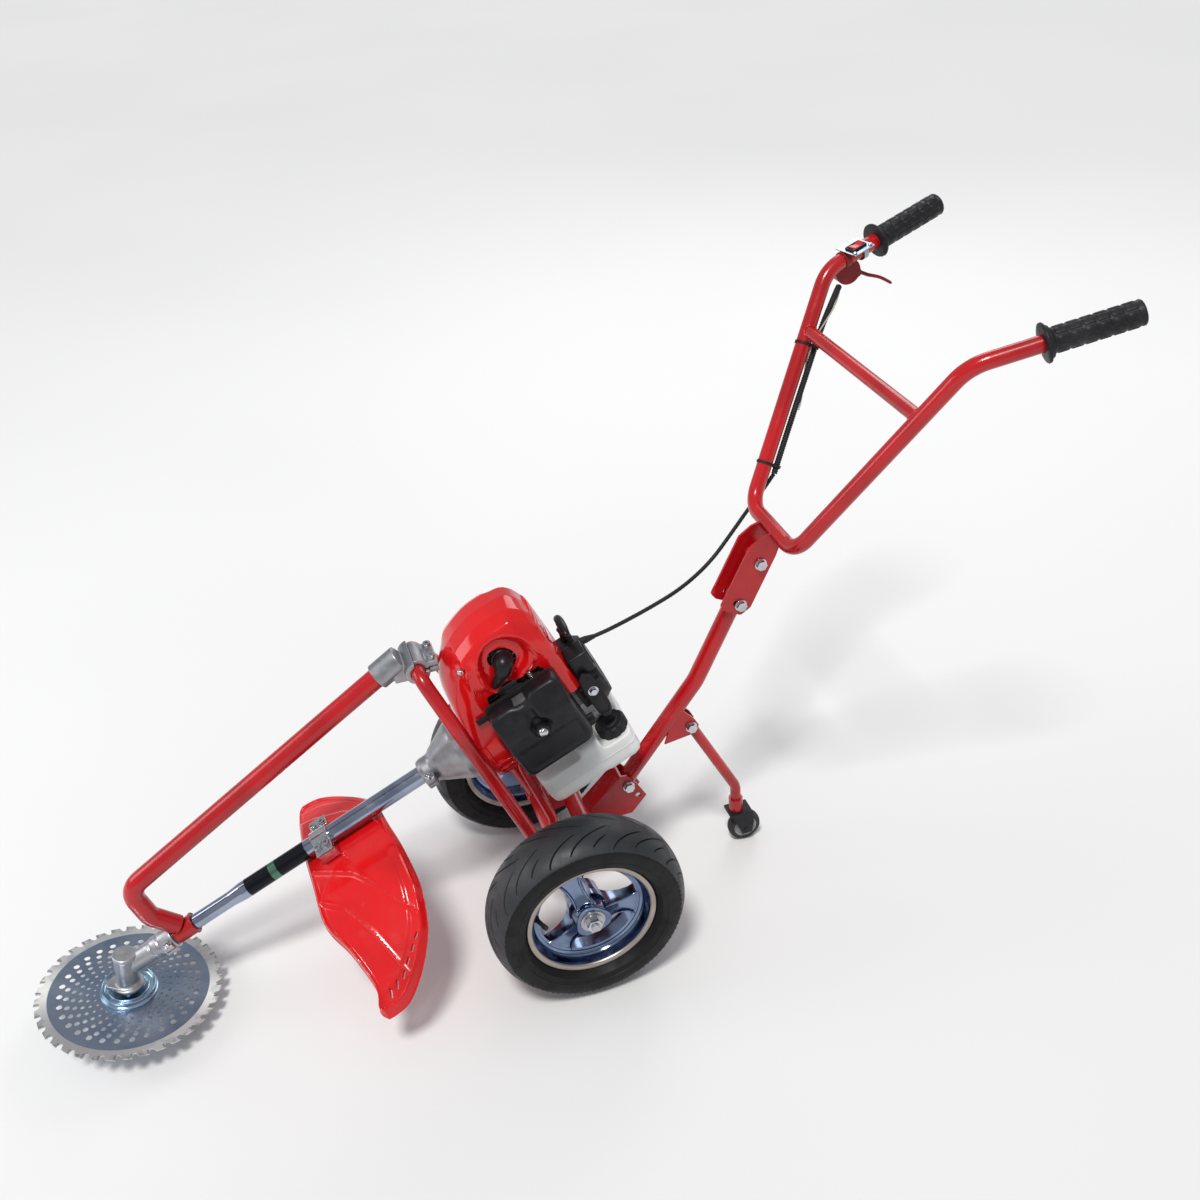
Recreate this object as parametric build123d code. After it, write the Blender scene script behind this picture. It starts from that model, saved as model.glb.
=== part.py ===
from build123d import *
import os
from math import cos, radians, sin, tan

# Wheeled brush cutter. Millimetres, +X forward to the blade, +Y the machine's left, +Z up.
# Everything is drawn with X = 0 at the wheel axle, then moved by AXLE_X so that the
# origin is under the middle of the whole machine.
AXLE_X = -11.5

# Wheels
TYRE_RADIUS = 140
TYRE_HALF_WIDTH = 44
RIM_RADIUS = 92
RIM_HALF_WIDTH = 31
WHEEL_Y = 181.6
AXLE_Z = TYRE_RADIUS
AXLE_RADIUS = 7.5
AXLE_END = 229
BEARING_RADIUS = 17.5
BEARING_WIDTH = 11
HUB_IN, HUB_OUT = -28, 34
SPOKE_START = 50
RUNNING = 0.05

# Frame
BEAM_RADIUS, BEAM_END = 14, 126
CROSS_X, CROSS_Z, CROSS_END = -45, 150, 46
LEG_DIAMETER, LEG_WALL = 20, 2
CLAMP_X, CLAMP_Z, CLAMP_Y = 153, 477, 40
STAY_Y, STAY_S, STAY_DIAMETER = 47, 139, 14
POLE_DIAMETER, POLE_WALL = 28, 2
COLUMN_DIAMETER, COLUMN_WALL = 25.4, 3
COLUMN_BOLT = (-122, 180)
COLUMN_BEND = (-240, 328)
TILT_BOLT = (-336, 511)
SLOT_BOLT = (-305, 452)
TILT_RANGE = 6
LEG_PIVOT = (-226, 255)
CASTER_X, CASTER_TRAIL, CASTER_RADIUS = -297, 12, 26
BOLT_RADIUS = 4

# Handlebar
BAR_DIAMETER, BAR_WALL = 22, 2
BAR_LOW = (-363, 72, 551)
BAR_CROSS = (-490, 145, 757)
BAR_BEND = (-533, 189, 828)
BAR_END = (-728, 237, 875)
GRIP_LENGTH, GRIP_RADIUS, FLANGE_RADIUS = 116, 16.5, 25
LEVER_PIVOT = (-583, -203, 813)
CONDUIT_DIAMETER, CABLE_DIAMETER = 9, 6
CONDUIT_OFFSET = 17
CONDUIT_SIDE = (-0.84, 0.425, -0.338)
TIE_SHARES = (0.312, 0.82)

# Drive line. Local engine frame: X up off the shaft, Y left, Z back along the shaft.
SLOPE = 23.7
NOSE = (166, 0, 290)
UP = (sin(radians(SLOPE)), 0, cos(radians(SLOPE)))
BACK = (-cos(radians(SLOPE)), 0, sin(radians(SLOPE)))
ENGINE = Plane(origin=NOSE, x_dir=UP, z_dir=BACK)
TUBE_RADIUS, TUBE_SLIM, TUBE_BORE = 13, 11, 9
TUBE_STEP, TUBE_TIP, TUBE_HEEL = -305, -452, 24
DRIVE_RADIUS = 4

# Blade. Local blade frame: Z up the spindle, X forward across the blade.
BLADE_TILT = 8.46
BLADE_CENTRE = (632, 0, 45)
BLADE_UP = (-sin(radians(BLADE_TILT)), 0, cos(radians(BLADE_TILT)))
BLADE = Plane(origin=BLADE_CENTRE, x_dir=(cos(radians(BLADE_TILT)), 0, sin(radians(BLADE_TILT))),
              z_dir=BLADE_UP)
BLADE_RADIUS, BLADE_THICKNESS, BLADE_BORE = 127.5, 1.6, 12.7
BLADE_TEETH = 36
APEX = 43.8
SPINDLE_RADIUS = 5

# Engine
DRUM_RADIUS, DRUM_FRONT, DRUM_BACK = 39, 60, 84
FLANGE_S = 86
FAN_BACK = 122
CRANKCASE_BACK = 214
CYLINDER_S = 170
STARTER_FRONT, STARTER_BACK, STARTER_RADIUS = 254, 283, 52
TANK_FRONT, TANK_BACK, TANK_TOP, TANK_LOW = 127, 274, -64, -128
CAP_S, CAP_Y, CAP_RADIUS = 254, 42, 23
FILTER_S, FILTER_T = (128, 236), (-28, 84)
CARB_Y, CARB_S = 48, 184
SCREW_RADIUS = 3
GUARD_CLAMP_S = -170
FLANGE_SCREWS = 52


def turned(*profile):
    """Solid of revolution about local Z from (radius, height) points."""
    face = make_face(Polyline([(r, 0, z) for r, z in profile], close=True))
    return revolve(face, Axis.Z)


def rod(radius, low, high):
    return Pos(0, 0, (low + high) / 2) * Cylinder(radius, high - low)


def ring(outer, inner, low, high):
    return rod(outer, low, high) - rod(inner, low - 1, high + 1)


def pipe(points, bends, diameter, wall=0):
    """Round tube along straight runs joined by tangent arcs."""
    path = FilletPolyline(*points, radius=bends) if bends else Line(*points)
    start = Plane(origin=path @ 0, z_dir=path % 0)
    section = Circle(diameter / 2)
    if wall:
        section -= Circle(diameter / 2 - wall)
    return sweep(start * section, path=path)


def plate(outline, y_low, y_high, corner=0):
    """Flat plate from an (x, z) outline, between two Y planes."""
    face = make_face(Polyline([(x, y_low, z) for x, z in outline], close=True))
    solid = extrude(face, amount=y_high - y_low, dir=(0, 1, 0))
    return fillet(solid.edges().filter_by(Axis.Y), corner) if corner else solid


def y_axis(x, y, z):
    """Frame whose local Z runs along +Y."""
    return Plane(origin=(x, y, z), x_dir=(1, 0, 0), z_dir=(0, 1, 0))


def y_rod(x, z, radius, y_low, y_high):
    return y_axis(x, 0, z) * rod(radius, y_low, y_high)


def mirrored(shape):
    return mirror(shape, Plane.XZ)


def hexagon(width, low, high):
    face = RegularPolygon(width / 2, 6, major_radius=False)
    return Pos(0, 0, low) * extrude(face, amount=high - low)


def through_bolt(radius, half):
    """Hex bolt, washers and lock nut clamping 2 * half along local Z."""
    solid = rod(radius, -half - 12, half + 1)
    solid += ring(radius * 2.2, radius - 0.5, half, half + 1.6)
    solid += hexagon(radius * 3.3, half + 1.6, half + 7)
    solid += ring(radius * 2.2, radius - 0.5, -half - 1.6, -half)
    return solid + hexagon(radius * 3.3, -half - 9, -half - 1.6)


def cap_screw(length):
    """Socket cap screw: head on +Z, thread down -Z, head seat at local Z = 0."""
    head = rod(SCREW_RADIUS * 1.7, 0, 6) - hexagon(SCREW_RADIUS * 1.7, 3, 7)
    return head + rod(SCREW_RADIUS, -length, 0.5)


def unit(a, b):
    return (Vector(*b) - Vector(*a)).normalized()


# ---------------------------------------------------------------- frame


def axle_beam():
    """Beam round the axle, short cross tube behind it, and the column's channel bracket."""
    solid = y_rod(0, AXLE_Z, BEAM_RADIUS, -BEAM_END, BEAM_END)
    solid -= y_rod(0, AXLE_Z, BEAM_RADIUS - 3, -BEAM_END + 10, BEAM_END - 10)
    solid += y_rod(CROSS_X, CROSS_Z, BEAM_RADIUS, -CROSS_END, CROSS_END)
    gusset = [(-55, 137), (0, 127), (13, 140), (0, 153), (-45, 163), (-57, 152)]
    for y in (-CROSS_END + 8, CROSS_END - 14):
        solid += plate(gusset, y, y + 6)
    solid += channel_bracket()
    solid -= y_rod(CROSS_X, CROSS_Z, BEAM_RADIUS - 3, -CROSS_END - 1, CROSS_END + 1)
    return solid - y_rod(0, AXLE_Z, AXLE_RADIUS, -BEAM_END - 1, BEAM_END + 1)


def channel_bracket():
    """Folded channel that clasps the foot of the column, open towards the rear."""
    run, out = (-0.7227, 0.6912), (0.6912, 0.7227)

    def point(along, outward):
        return (-49 + along * run[0] + outward * out[0], 143 + along * run[1] + outward * out[1])

    side = [point(*p) for p in ((0, 0), (84, 0), (91, -8), (88, -32), (80, -60), (44, -63), (0, -22))]
    web = [point(*p) for p in ((0, -3), (0, 0), (84, 0), (86, -3))]
    solid = plate(side, 13.5, 17) + plate(side, -17, -13.5) + plate(web, -17, 17)
    x, z = COLUMN_BOLT
    spare = point(73, -48.6)
    solid -= y_rod(x, z, BOLT_RADIUS + 0.2, -20, 20)
    return solid - y_rod(*spare, BOLT_RADIUS + 0.2, -20, 20)


def axle():
    """Stepped axle: shoulders space the wheels off the beam, threaded ends take the nuts."""
    shoulder = WHEEL_Y + HUB_IN
    half = turned((0, 0), (AXLE_RADIUS, 0), (AXLE_RADIUS, BEAM_END), (10.5, BEAM_END),
                  (10.5, shoulder), (AXLE_RADIUS, shoulder), (AXLE_RADIUS, 216.6), (6, 216.6),
                  (6, AXLE_END - 1), (5, AXLE_END), (0, AXLE_END))
    left = y_axis(0, 0, AXLE_Z) * half
    return left + mirrored(left)


def axle_nuts():
    face = WHEEL_Y + HUB_OUT
    nut = ring(13, AXLE_RADIUS, face, face + 1) + ring(13, 6, face + 1, face + 2.5)
    nut += hexagon(19, face + 2.5, face + 10.5) - rod(6, face, face + 12)
    left = y_axis(0, 0, AXLE_Z) * nut
    return Compound(children=[left, mirrored(left)])


def side_frame():
    """Inverted U from the beam up through the clamp; the right leg sits further back."""
    return side_frame_tube(LEG_WALL) - y_rod(0, AXLE_Z, BEAM_RADIUS, -BEAM_END, BEAM_END)


def side_frame_tube(wall=0):
    left = [(20, 66, 130), (122, 78, 409), (CLAMP_X, CLAMP_Y, CLAMP_Z)]
    right = [(CLAMP_X, -CLAMP_Y, CLAMP_Z), (110, -78, 409), (1, -66, 138)]
    return pipe(left + right, [90, 30, 30, 90], LEG_DIAMETER, wall)


def engine_stays():
    """Two thin stays from the beam to the sides of the crankcase."""
    top = ENGINE.from_local_coords((24, STAY_Y, STAY_S))
    points = [(0, STAY_Y, AXLE_Z + 6), (4, STAY_Y, 190), (34, STAY_Y, 287), (top.X, STAY_Y, top.Z)]
    stay = pipe(points, [50, 90], STAY_DIAMETER, 1.5)
    stay += ENGINE * Pos(24, STAY_Y - 0.8, STAY_S) * Box(26, 16, 16)
    stay -= ENGINE * Pos(24, STAY_Y, STAY_S) * Rot(90, 0, 0) * Cylinder(SCREW_RADIUS, 40)
    stay -= y_rod(0, AXLE_Z, BEAM_RADIUS, -BEAM_END, BEAM_END)
    stay = stay.solids().sort_by(SortBy.VOLUME)[-1]
    return Compound(children=[stay, mirrored(stay)])


def pole_path():
    return [(182, 0, 480.8), (588, 0, 223), (572, 0, 168), (541, 0, 139)]


def front_pole():
    """Long pole from the clamp to the gear end of the shaft, with a saddle on the shaft tube."""
    solid = pipe(pole_path(), [30, 25], POLE_DIAMETER, POLE_WALL)
    solid -= ENGINE * rod(14, TUBE_TIP, TUBE_STEP)
    solid -= ENGINE * rod(19, TUBE_TIP, -417)
    solid = solid.solids().sort_by(SortBy.VOLUME)[-1]
    return solid + ENGINE * ring(14.5, TUBE_SLIM, -416, -386)


def pole_start():
    """Axis of the pole where it enters the clamp."""
    start, end = pole_path()[:2]
    return Plane(origin=start, z_dir=unit(start, end))


def clamp_screw_holes():
    holes = [Pos(CLAMP_X - 22, y, CLAMP_Z) * Cylinder(SCREW_RADIUS, 60) for y in (-14, 14)]
    return holes[0] + holes[1]


def pole_clamp():
    """Cast clamp: lower half ring round the frame's top bar and a socket for the pole."""
    solid = y_rod(CLAMP_X, CLAMP_Z, 16.5, -30, 30)
    solid += pole_start() * rod(18.5, -14, 26)
    solid += Pos(CLAMP_X + 12, 0, CLAMP_Z - 4) * Box(36, 34, 26)
    solid += Pos(CLAMP_X - 16, 0, CLAMP_Z - 4) * Box(26, 46, 8)
    solid -= pole_start() * rod(POLE_DIAMETER / 2, 0, 60)
    solid -= Pos(CLAMP_X - 30, 0, CLAMP_Z + 25.5) * Box(66, 90, 50)
    return solid - side_frame_tube() - clamp_screw_holes()


def clamp_cap():
    """Upper half ring, held by two screws."""
    solid = y_rod(CLAMP_X, CLAMP_Z, 16.5, -24, 24)
    solid += Pos(CLAMP_X - 16, 0, CLAMP_Z + 5) * Box(26, 46, 9)
    solid -= Pos(CLAMP_X, 0, CLAMP_Z - 24) * Box(80, 90, 50)
    solid -= Pos(CLAMP_X + 52.7, 0, CLAMP_Z) * Box(100, 90, 90)
    return solid - side_frame_tube() - clamp_screw_holes()


def rear_column():
    """Bent column with the support leg's bracket plates welded behind it."""
    x0, z0 = COLUMN_BOLT
    low = unit((*COLUMN_BEND, 0), (x0, z0, 0))
    high = unit((*SLOT_BOLT, 0), (*TILT_BOLT, 0))
    foot = (x0 + 22 * low.X, 0, z0 + 22 * low.Y)
    head = (TILT_BOLT[0] + 14 * high.X, 0, TILT_BOLT[1] + 14 * high.Y)
    bend = (COLUMN_BEND[0], 0, COLUMN_BEND[1])
    solid = pipe([foot, bend, head], 80, COLUMN_DIAMETER, COLUMN_WALL)
    for x, z in (SLOT_BOLT, TILT_BOLT):
        solid += y_rod(x, z, 9, -15.7, 15.7)
    px, pz = LEG_PIVOT
    outline = [(px + 42, pz - 20), (px - 8, pz - 13), (px - 12, pz), (px - 6, pz + 12), (px + 16, pz + 38),
               (px + 28, pz + 26)]
    for y in (-12, 9):
        solid += plate(outline, y, y + 3)
    solid -= y_rod(px, pz, BOLT_RADIUS, -20, 20)
    bolts = [(*COLUMN_BOLT, 20), (*SLOT_BOLT, 30), (*TILT_BOLT, 30)]
    for x, z, half in bolts:
        solid -= y_rod(x, z, BOLT_RADIUS, -half, half)
    return solid


def frame_bolts():
    """Column foot, handlebar slot and leg bolts. The slot and tilt bolts share one size."""
    places = [(*COLUMN_BOLT, 17), (*SLOT_BOLT, 20.3), (*TILT_BOLT, 20.3), (*LEG_PIVOT, 12)]
    return Compound(children=[y_axis(x, 0, z) * through_bolt(BOLT_RADIUS, half) for x, z, half in places])


# ---------------------------------------------------------------- support leg

def support_leg():
    """Folding leg: eye between the bracket plates, bent foot with the swivel socket."""
    px, pz = LEG_PIVOT
    solid = pipe([(px, 0, pz), (CASTER_X, 0, 108), (CASTER_X, 0, 66)], 30, 16, 2)
    solid += y_rod(px, pz, 9, -8.6, 8.6)
    solid += Pos(CASTER_X, 0, 0) * rod(11, 62, 84)
    solid -= Pos(CASTER_X, 0, 0) * rod(5 + RUNNING, 50, 80)
    return solid - y_rod(px, pz, BOLT_RADIUS + RUNNING, -20, 20)


def caster_fork():
    """Swivel pin, top plate and two fork cheeks that trail behind the pin."""
    x, back = CASTER_X, CASTER_X - CASTER_TRAIL
    solid = Pos(x, 0, 0) * rod(5, 56, 78)
    solid += Pos(x - 4, 0, 58) * Box(36, 30, 5)
    outline = [(x - 20, 59), (x + 12, 59), (x + 6, 44), (back + 8, 19), (back - 8, 19), (back - 12, 40)]
    for y in (-15, 12):
        solid += plate(outline, y, y + 3)
    return solid + y_rod(back, CASTER_RADIUS, 4, -17, 17)


def caster_wheel():
    wheel = turned((4 + RUNNING, -10), (9, -10), (9, -8), (22, -8.5), (25, -6), (CASTER_RADIUS, 0), (25, 6),
                   (22, 8.5), (9, 8), (9, 10), (4 + RUNNING, 10))
    return y_axis(CASTER_X - CASTER_TRAIL, 0, CASTER_RADIUS) * wheel


# ---------------------------------------------------------------- wheels

def wheel_frame(side):
    """Local Z points away from the machine."""
    return Plane(origin=(0, side * WHEEL_Y, AXLE_Z), x_dir=(1, 0, 0), z_dir=(0, side, 0))


def tyre(side):
    """Pneumatic tyre: hollow, with its beads seated behind the rim flanges."""
    tread = [(140, 0), (139, 12), (136.5, 24), (132, 34), (125, 41), (114, 44), (103, 42), (95, 34),
             (92.6, 27.7)]
    cavity = [(84.3, 25.7), (84.3, 19), (92, 22), (104, 35), (118, 38), (128, 28), (131, 0)]
    outer = tread[::-1] + [(r, -z) for r, z in tread[1:]]
    inner = [(r, -z) for r, z in cavity] + cavity[-2::-1]
    return wheel_frame(side) * turned(*outer, *inner)


def rim(side):
    """Cast rim with a deep well, three spokes and a bearing hub."""
    skin = [(92, 31), (92, 28), (84, 26), (82, 18), (74, 12)]
    bore = [(88.5, 31), (80, 24), (78, 16), (70, 10)]
    far_skin = [(r, -z) for r, z in skin[::-1]]
    far_bore = [(r, -z) for r, z in bore]
    solid = turned(*skin, *far_skin, *far_bore, *bore[::-1])
    low, high = HUB_IN + 0.4, HUB_OUT - 0.4
    solid += turned((0, low), (22, low), (24, -10), (26, 8), (22, 20), (22, high), (0, high))
    for k in range(3):
        spoke = Pos(47, 0, 2) * Box(54, 22, 14)
        solid += Rot(0, 0, 120 * k + SPOKE_START) * fillet(spoke.edges().filter_by(Axis.X), 5)
    seat = BEARING_RADIUS + RUNNING
    solid -= rod(seat, HUB_IN - 1, HUB_IN + BEARING_WIDTH + 0.3)
    solid -= rod(seat, HUB_OUT - BEARING_WIDTH - 0.3, HUB_OUT + 1)
    return wheel_frame(side) * (solid - rod(12, HUB_IN, HUB_OUT))


def wheel_bearings():
    """Two sealed ball bearings per wheel, pressed on the axle."""
    rings = []
    for side in (-1, 1):
        for low in (HUB_IN, HUB_OUT - BEARING_WIDTH):
            bearing = ring(BEARING_RADIUS, AXLE_RADIUS, low, low + BEARING_WIDTH)
            rings.append(wheel_frame(side) * bearing)
    return Compound(children=rings)


# ---------------------------------------------------------------- handlebar

def bar_side(point, side):
    return (point[0], side * point[1], point[2])


def bar_tube(wall):
    left = [bar_side(p, 1) for p in (BAR_END, BAR_BEND, BAR_LOW)]
    right = [bar_side(p, -1) for p in (BAR_LOW, BAR_BEND, BAR_END)]
    return pipe(left + right, [60, 38, 38, 60], BAR_DIAMETER, wall)


def handlebar():
    """One bent tube, a crossbar and the two bracket plates welded under the loop."""
    cross = y_axis(BAR_CROSS[0], 0, BAR_CROSS[2]) * (Cylinder(9.5, 2 * BAR_CROSS[1] + 30)
                                                     - Cylinder(7.5, 2 * BAR_CROSS[1] + 30))
    plates = bracket_plate()
    welded = cross + plates + mirrored(plates) - bar_tube(0)
    between_arms = [s for s in welded.solids() if abs(s.center().Y) < 30]
    return bar_tube(BAR_WALL) + between_arms


def bracket_plate():
    """Left plate: round hole for the tilt bolt, arc slot for the lower bolt."""
    along = unit((*SLOT_BOLT, 0), (*TILT_BOLT, 0))

    def point(up, rear):
        return (SLOT_BOLT[0] + up * along.X - rear * along.Y, SLOT_BOLT[1] + up * along.Y + rear * along.X)

    outline = [point(*p) for p in ((-15, -18), (-10, -28), (84, -27), (104, -16), (115, -4), (112, 14),
                                   (84, 17), (0, 17), (-15, 8))]
    solid = plate(outline, 16.2, 20, 4)
    solid -= y_rod(*TILT_BOLT, BOLT_RADIUS + RUNNING, 0, 40)
    reach = Vector(*SLOT_BOLT) - Vector(*TILT_BOLT)
    lowest = -reach.get_angle(Vector(1, 0, 0)) - 0.4
    hub = Plane(origin=(TILT_BOLT[0], 28, TILT_BOLT[1]), x_dir=(1, 0, 0), z_dir=(0, -1, 0))
    arc = CenterArc((0, 0), reach.length, lowest, TILT_RANGE + 0.8)
    return solid - hub * extrude(SlotArc(arc, 2 * BOLT_RADIUS + 1), amount=20)


def grip_frame(side):
    """Local Z along the arm, from the inner end of the grip outwards."""
    end = Vector(*bar_side(BAR_END, side))
    along = unit(bar_side(BAR_BEND, side), end)
    return Plane(origin=end - along * (GRIP_LENGTH + 1), z_dir=along)


def grip(side):
    """Moulded rubber grip with a hand-stop flange, closed at the outer end."""
    bore, end = BAR_DIAMETER / 2, GRIP_LENGTH + 4
    profile = [(bore, 0), (FLANGE_RADIUS, 0), (FLANGE_RADIUS, 4), (19, 10), (GRIP_RADIUS, 12),
               (GRIP_RADIUS, GRIP_LENGTH), (13, end), (0, end), (0, end - 2.8), (bore, end - 2.8)]
    return grip_frame(side) * turned(*profile)


def bar_frame():
    """Frame on the right arm ahead of the grip: Z along the arm, X up, Y across."""
    start, end = bar_side(BAR_BEND, -1), bar_side(BAR_END, -1)
    along = unit(start, end)
    across = along.cross(Vector(0, 0, 1)).normalized()
    return Plane(origin=Vector(*start) + along * 52, x_dir=across.cross(along), z_dir=along)


def switch_plate():
    """Pressed steel plate on top of the right arm, with a strap round the tube."""
    solid = Pos(13.5, 8, -4) * Box(1.6, 42, 36) + ring(14.2, BAR_DIAMETER / 2, 6, 14)
    return bar_frame() * (solid - Pos(13.5, 10, -4) * Box(10, 13.2, 21.2) - rod(BAR_DIAMETER / 2, -30, 30))


def rocker_switch():
    solid = Pos(14.6, 10, -4) * Box(5, 12.4, 20) + Pos(13.5, 10, -4) * Rot(90, 0, 0) * Cylinder(3, 12.4)
    return bar_frame() * solid


def lever_perch():
    """Round housing of the thumb throttle, strapped under the right arm."""
    x, y, z = LEVER_PIVOT
    solid = y_rod(x + 14, z + 4, 19, y - 9, y + 9) + y_rod(x, z, 7, y - 9, y + 9)
    solid -= y_rod(x + 14, z + 4, 16, y - 3.3, y + 3.3) + y_rod(x, z, 12, y - 3.3, y + 3.3)
    solid += y_rod(x, z, 3, y - 9, y + 9)
    solid += bar_frame() * Pos(0, 0, -20) * ring(12.6, 10.5, -5, 5)
    return solid - bar_tube(0)


def throttle_lever():
    """Curved lever that pivots in the perch and points back under the grip."""
    x, y, z = LEVER_PIVOT
    path = FilletPolyline((x, y, z), (x - 22, y, z - 10), (x - 42, y - 2, z - 18), (x - 60, y - 3, z - 30),
                          radius=[30, 30])
    end = path @ 1
    solid = sweep(Plane(origin=path @ 0, z_dir=path % 0) * Rectangle(5.5, 5.5), path=path)
    solid += y_rod(x, z, 8, y - 3, y + 3) + y_rod(end.X, end.Z, 4.5, y - 6, y)
    return solid - y_rod(x, z, 3 + RUNNING, y - 20, y + 20)


# ---------------------------------------------------------------- throttle cable

def arm_point(share, offset=0.0):
    """Point beside the right arm, from its upper bend (0) to its lower bend (1)."""
    start, end = Vector(*bar_side(BAR_BEND, -1)), Vector(*bar_side(BAR_LOW, -1))
    return start + (end - start) * share + Vector(*CONDUIT_SIDE) * offset


def conduit_route():
    """Centre line from the perch, then down the right arm."""
    offsets = ((0.10, 21), (0.24, 17), (0.40, 17.4), (0.62, 16.6), (0.85, CONDUIT_OFFSET))
    return [(-551, -187, 801)] + [tuple(arm_point(*p)) for p in offsets]


def hanging_route():
    """From the last tie, sagging forward to the back of the engine."""
    return [(-401.6, -82.1, 585.6), (-388, -89, 560), (-367, -92, 534), (-338, -86, 505), (-296, -68, 475),
            (-243, -47, 457), (-188, -29, 450), (-135, -14, 445), (-105, -8, 442), (-79, -5, 440)]


def route_pipe(points, diameter):
    """Tube on straight runs with arcs as large as 0.45 of the shorter run allows."""
    corners = [Vector(*p) for p in points]
    radii = []
    for a, b, c in zip(corners, corners[1:], corners[2:]):
        turn = radians((b - a).get_angle(c - b))
        radii.append(0.45 * min((b - a).length, (c - b).length) / tan(turn / 2))
    print("bend radii", [round(r) for r in radii])
    return pipe(points, radii, diameter)


def throttle_conduit():
    return route_pipe(conduit_route(), CONDUIT_DIAMETER)


def throttle_cable():
    return route_pipe(hanging_route(), CABLE_DIAMETER)


def cable_ties():
    """Bands that hold the conduit on the right arm."""
    along = (arm_point(1) - arm_point(0)).normalized()
    ties = []
    for share in TIE_SHARES:
        band = Plane(origin=arm_point(share), x_dir=CONDUIT_SIDE, z_dir=along)
        outer = make_hull((Circle(12.3) + Pos(CONDUIT_OFFSET, 0) * Circle(6.2)).edges())
        inner = make_hull((Circle(11.1) + Pos(CONDUIT_OFFSET, 0) * Circle(5)).edges())
        ties.append(band * Pos(0, 0, -2) * extrude(outer - inner, amount=4))
    return Compound(children=ties)


# ---------------------------------------------------------------- shaft and blade

def shaft_tube():
    """Polished tube from the clutch housing to the gear case, with bushes for the drive shaft."""
    solid = turned((TUBE_BORE, TUBE_HEEL), (TUBE_RADIUS, TUBE_HEEL), (TUBE_RADIUS, TUBE_STEP),
                   (TUBE_SLIM, TUBE_STEP - 20), (TUBE_SLIM, TUBE_TIP), (TUBE_BORE, TUBE_TIP))
    for s in (TUBE_TIP + 8, -215, TUBE_HEEL - 20):
        solid += ring(TUBE_BORE, DRIVE_RADIUS + RUNNING, s, s + 14)
    return ENGINE * solid


def drive_shaft():
    """Steel rod inside the tube, with the bevel pinion at the front end."""
    apex = BLADE.from_local_coords((0, 0, APEX))
    front = -(apex - Vector(*NOSE)).length
    solid = rod(DRIVE_RADIUS, front + 10, DRUM_FRONT + 6)
    pinion = turned((0, 3.9), (3.5, 3.9), (7.7, 8.2), (6.4, 15), (0, 15))
    for k in range(14):
        pinion -= Rot(0, 0, k * 360 / 14) * Pos(7.6, 0, 9) * Rot(0, -45, 0) * Box(1.6, 1.1, 11)
    return ENGINE * (solid + Pos(0, 0, front) * pinion)


def gear_case():
    """Cast gear head: spindle barrel with a round cap, angled neck and clamp collar."""
    barrel = rod(15.5, 14, 64) + rod(16.5, 64, 70) + turned((0, 12), (22, 12), (22, 15), (15, 20), (0, 20))
    neck = turned((0, TUBE_TIP - 46), (14.5, TUBE_TIP - 46), (14.5, TUBE_TIP - 4), (16, TUBE_TIP),
                  (16, TUBE_TIP + 12), (17.5, TUBE_TIP + 14), (17.5, TUBE_TIP + 34), (0, TUBE_TIP + 34))
    solid = BLADE * barrel + ENGINE * neck
    solid += ENGINE * Pos(0, 17, TUBE_TIP + 24) * Box(16, 12, 16)
    solid -= ENGINE * Pos(0, 20, TUBE_TIP + 26) * Box(1.4, 30, 40)
    solid -= ENGINE * rod(TUBE_SLIM, TUBE_TIP, TUBE_TIP + 60)
    solid -= ENGINE * rod(9.4, TUBE_TIP - 44, TUBE_TIP + 1)
    solid -= BLADE * rod(12.6, 24, 60)
    return solid - BLADE * rod(SPINDLE_RADIUS + RUNNING, 0, 30)


def spindle():
    """Output spindle with its bevel gear."""
    solid = rod(SPINDLE_RADIUS, -16, APEX - 11)
    gear = turned((0, APEX - 3.0), (4, APEX - 1.6), (10.6, APEX - 3.3), (10.9, APEX - 9), (0, APEX - 12))
    for k in range(19):
        gear -= Rot(0, 0, k * 360 / 19) * Pos(8.6, 0, APEX - 2.2) * Rot(0, 13, 0) * Box(8, 1.2, 1.8)
    return BLADE * (solid + gear)


def blade():
    """Chip saw disc: tipped rim teeth with round gullets, and spiral rows of holes."""
    pitch = radians(360 / BLADE_TEETH)
    outline = []
    for k in range(BLADE_TEETH):
        for share, radius in ((0.0, BLADE_RADIUS), (0.05, BLADE_RADIUS - 7), (0.2, BLADE_RADIUS - 9),
                              (0.34, BLADE_RADIUS - 6), (0.45, BLADE_RADIUS - 1.2)):
            angle = (k + share) * pitch
            outline.append((radius * cos(angle), radius * sin(angle)))
    disc = make_face(Polyline(*outline, close=True))
    holes = Sketch() + [Pos(*xy) * Circle(r) for xy, r in blade_holes()]
    disc = disc - holes - Circle(BLADE_BORE)
    return BLADE * Pos(0, 0, -BLADE_THICKNESS / 2) * extrude(disc, amount=BLADE_THICKNESS)


def blade_holes():
    """Holes grow outwards along curved rows."""
    for row in range(30):
        for step in range(6):
            radius = 47 + 9.4 * step
            angle = radians(12 * row + 8.5 * step)
            yield (radius * cos(angle), radius * sin(angle)), 2.0 + 0.46 * step


def blade_holders():
    """Upper dished holder that centres the blade, and the lower clamping washer."""
    top = BLADE_THICKNESS / 2
    upper = turned((SPINDLE_RADIUS, -0.6), (BLADE_BORE, -0.6), (BLADE_BORE, top), (40, top), (40, 11),
                   (37.5, 11), (36, 4), (14, 4), (13, 10.5), (SPINDLE_RADIUS, 10.5))
    lower = turned((SPINDLE_RADIUS, -top), (27, -top), (27, -3.5), (20, -6), (SPINDLE_RADIUS, -6))
    lower -= rod(BLADE_BORE + 0.1, -1.0, 0)
    return Compound(children=[BLADE * upper, BLADE * lower])


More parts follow.
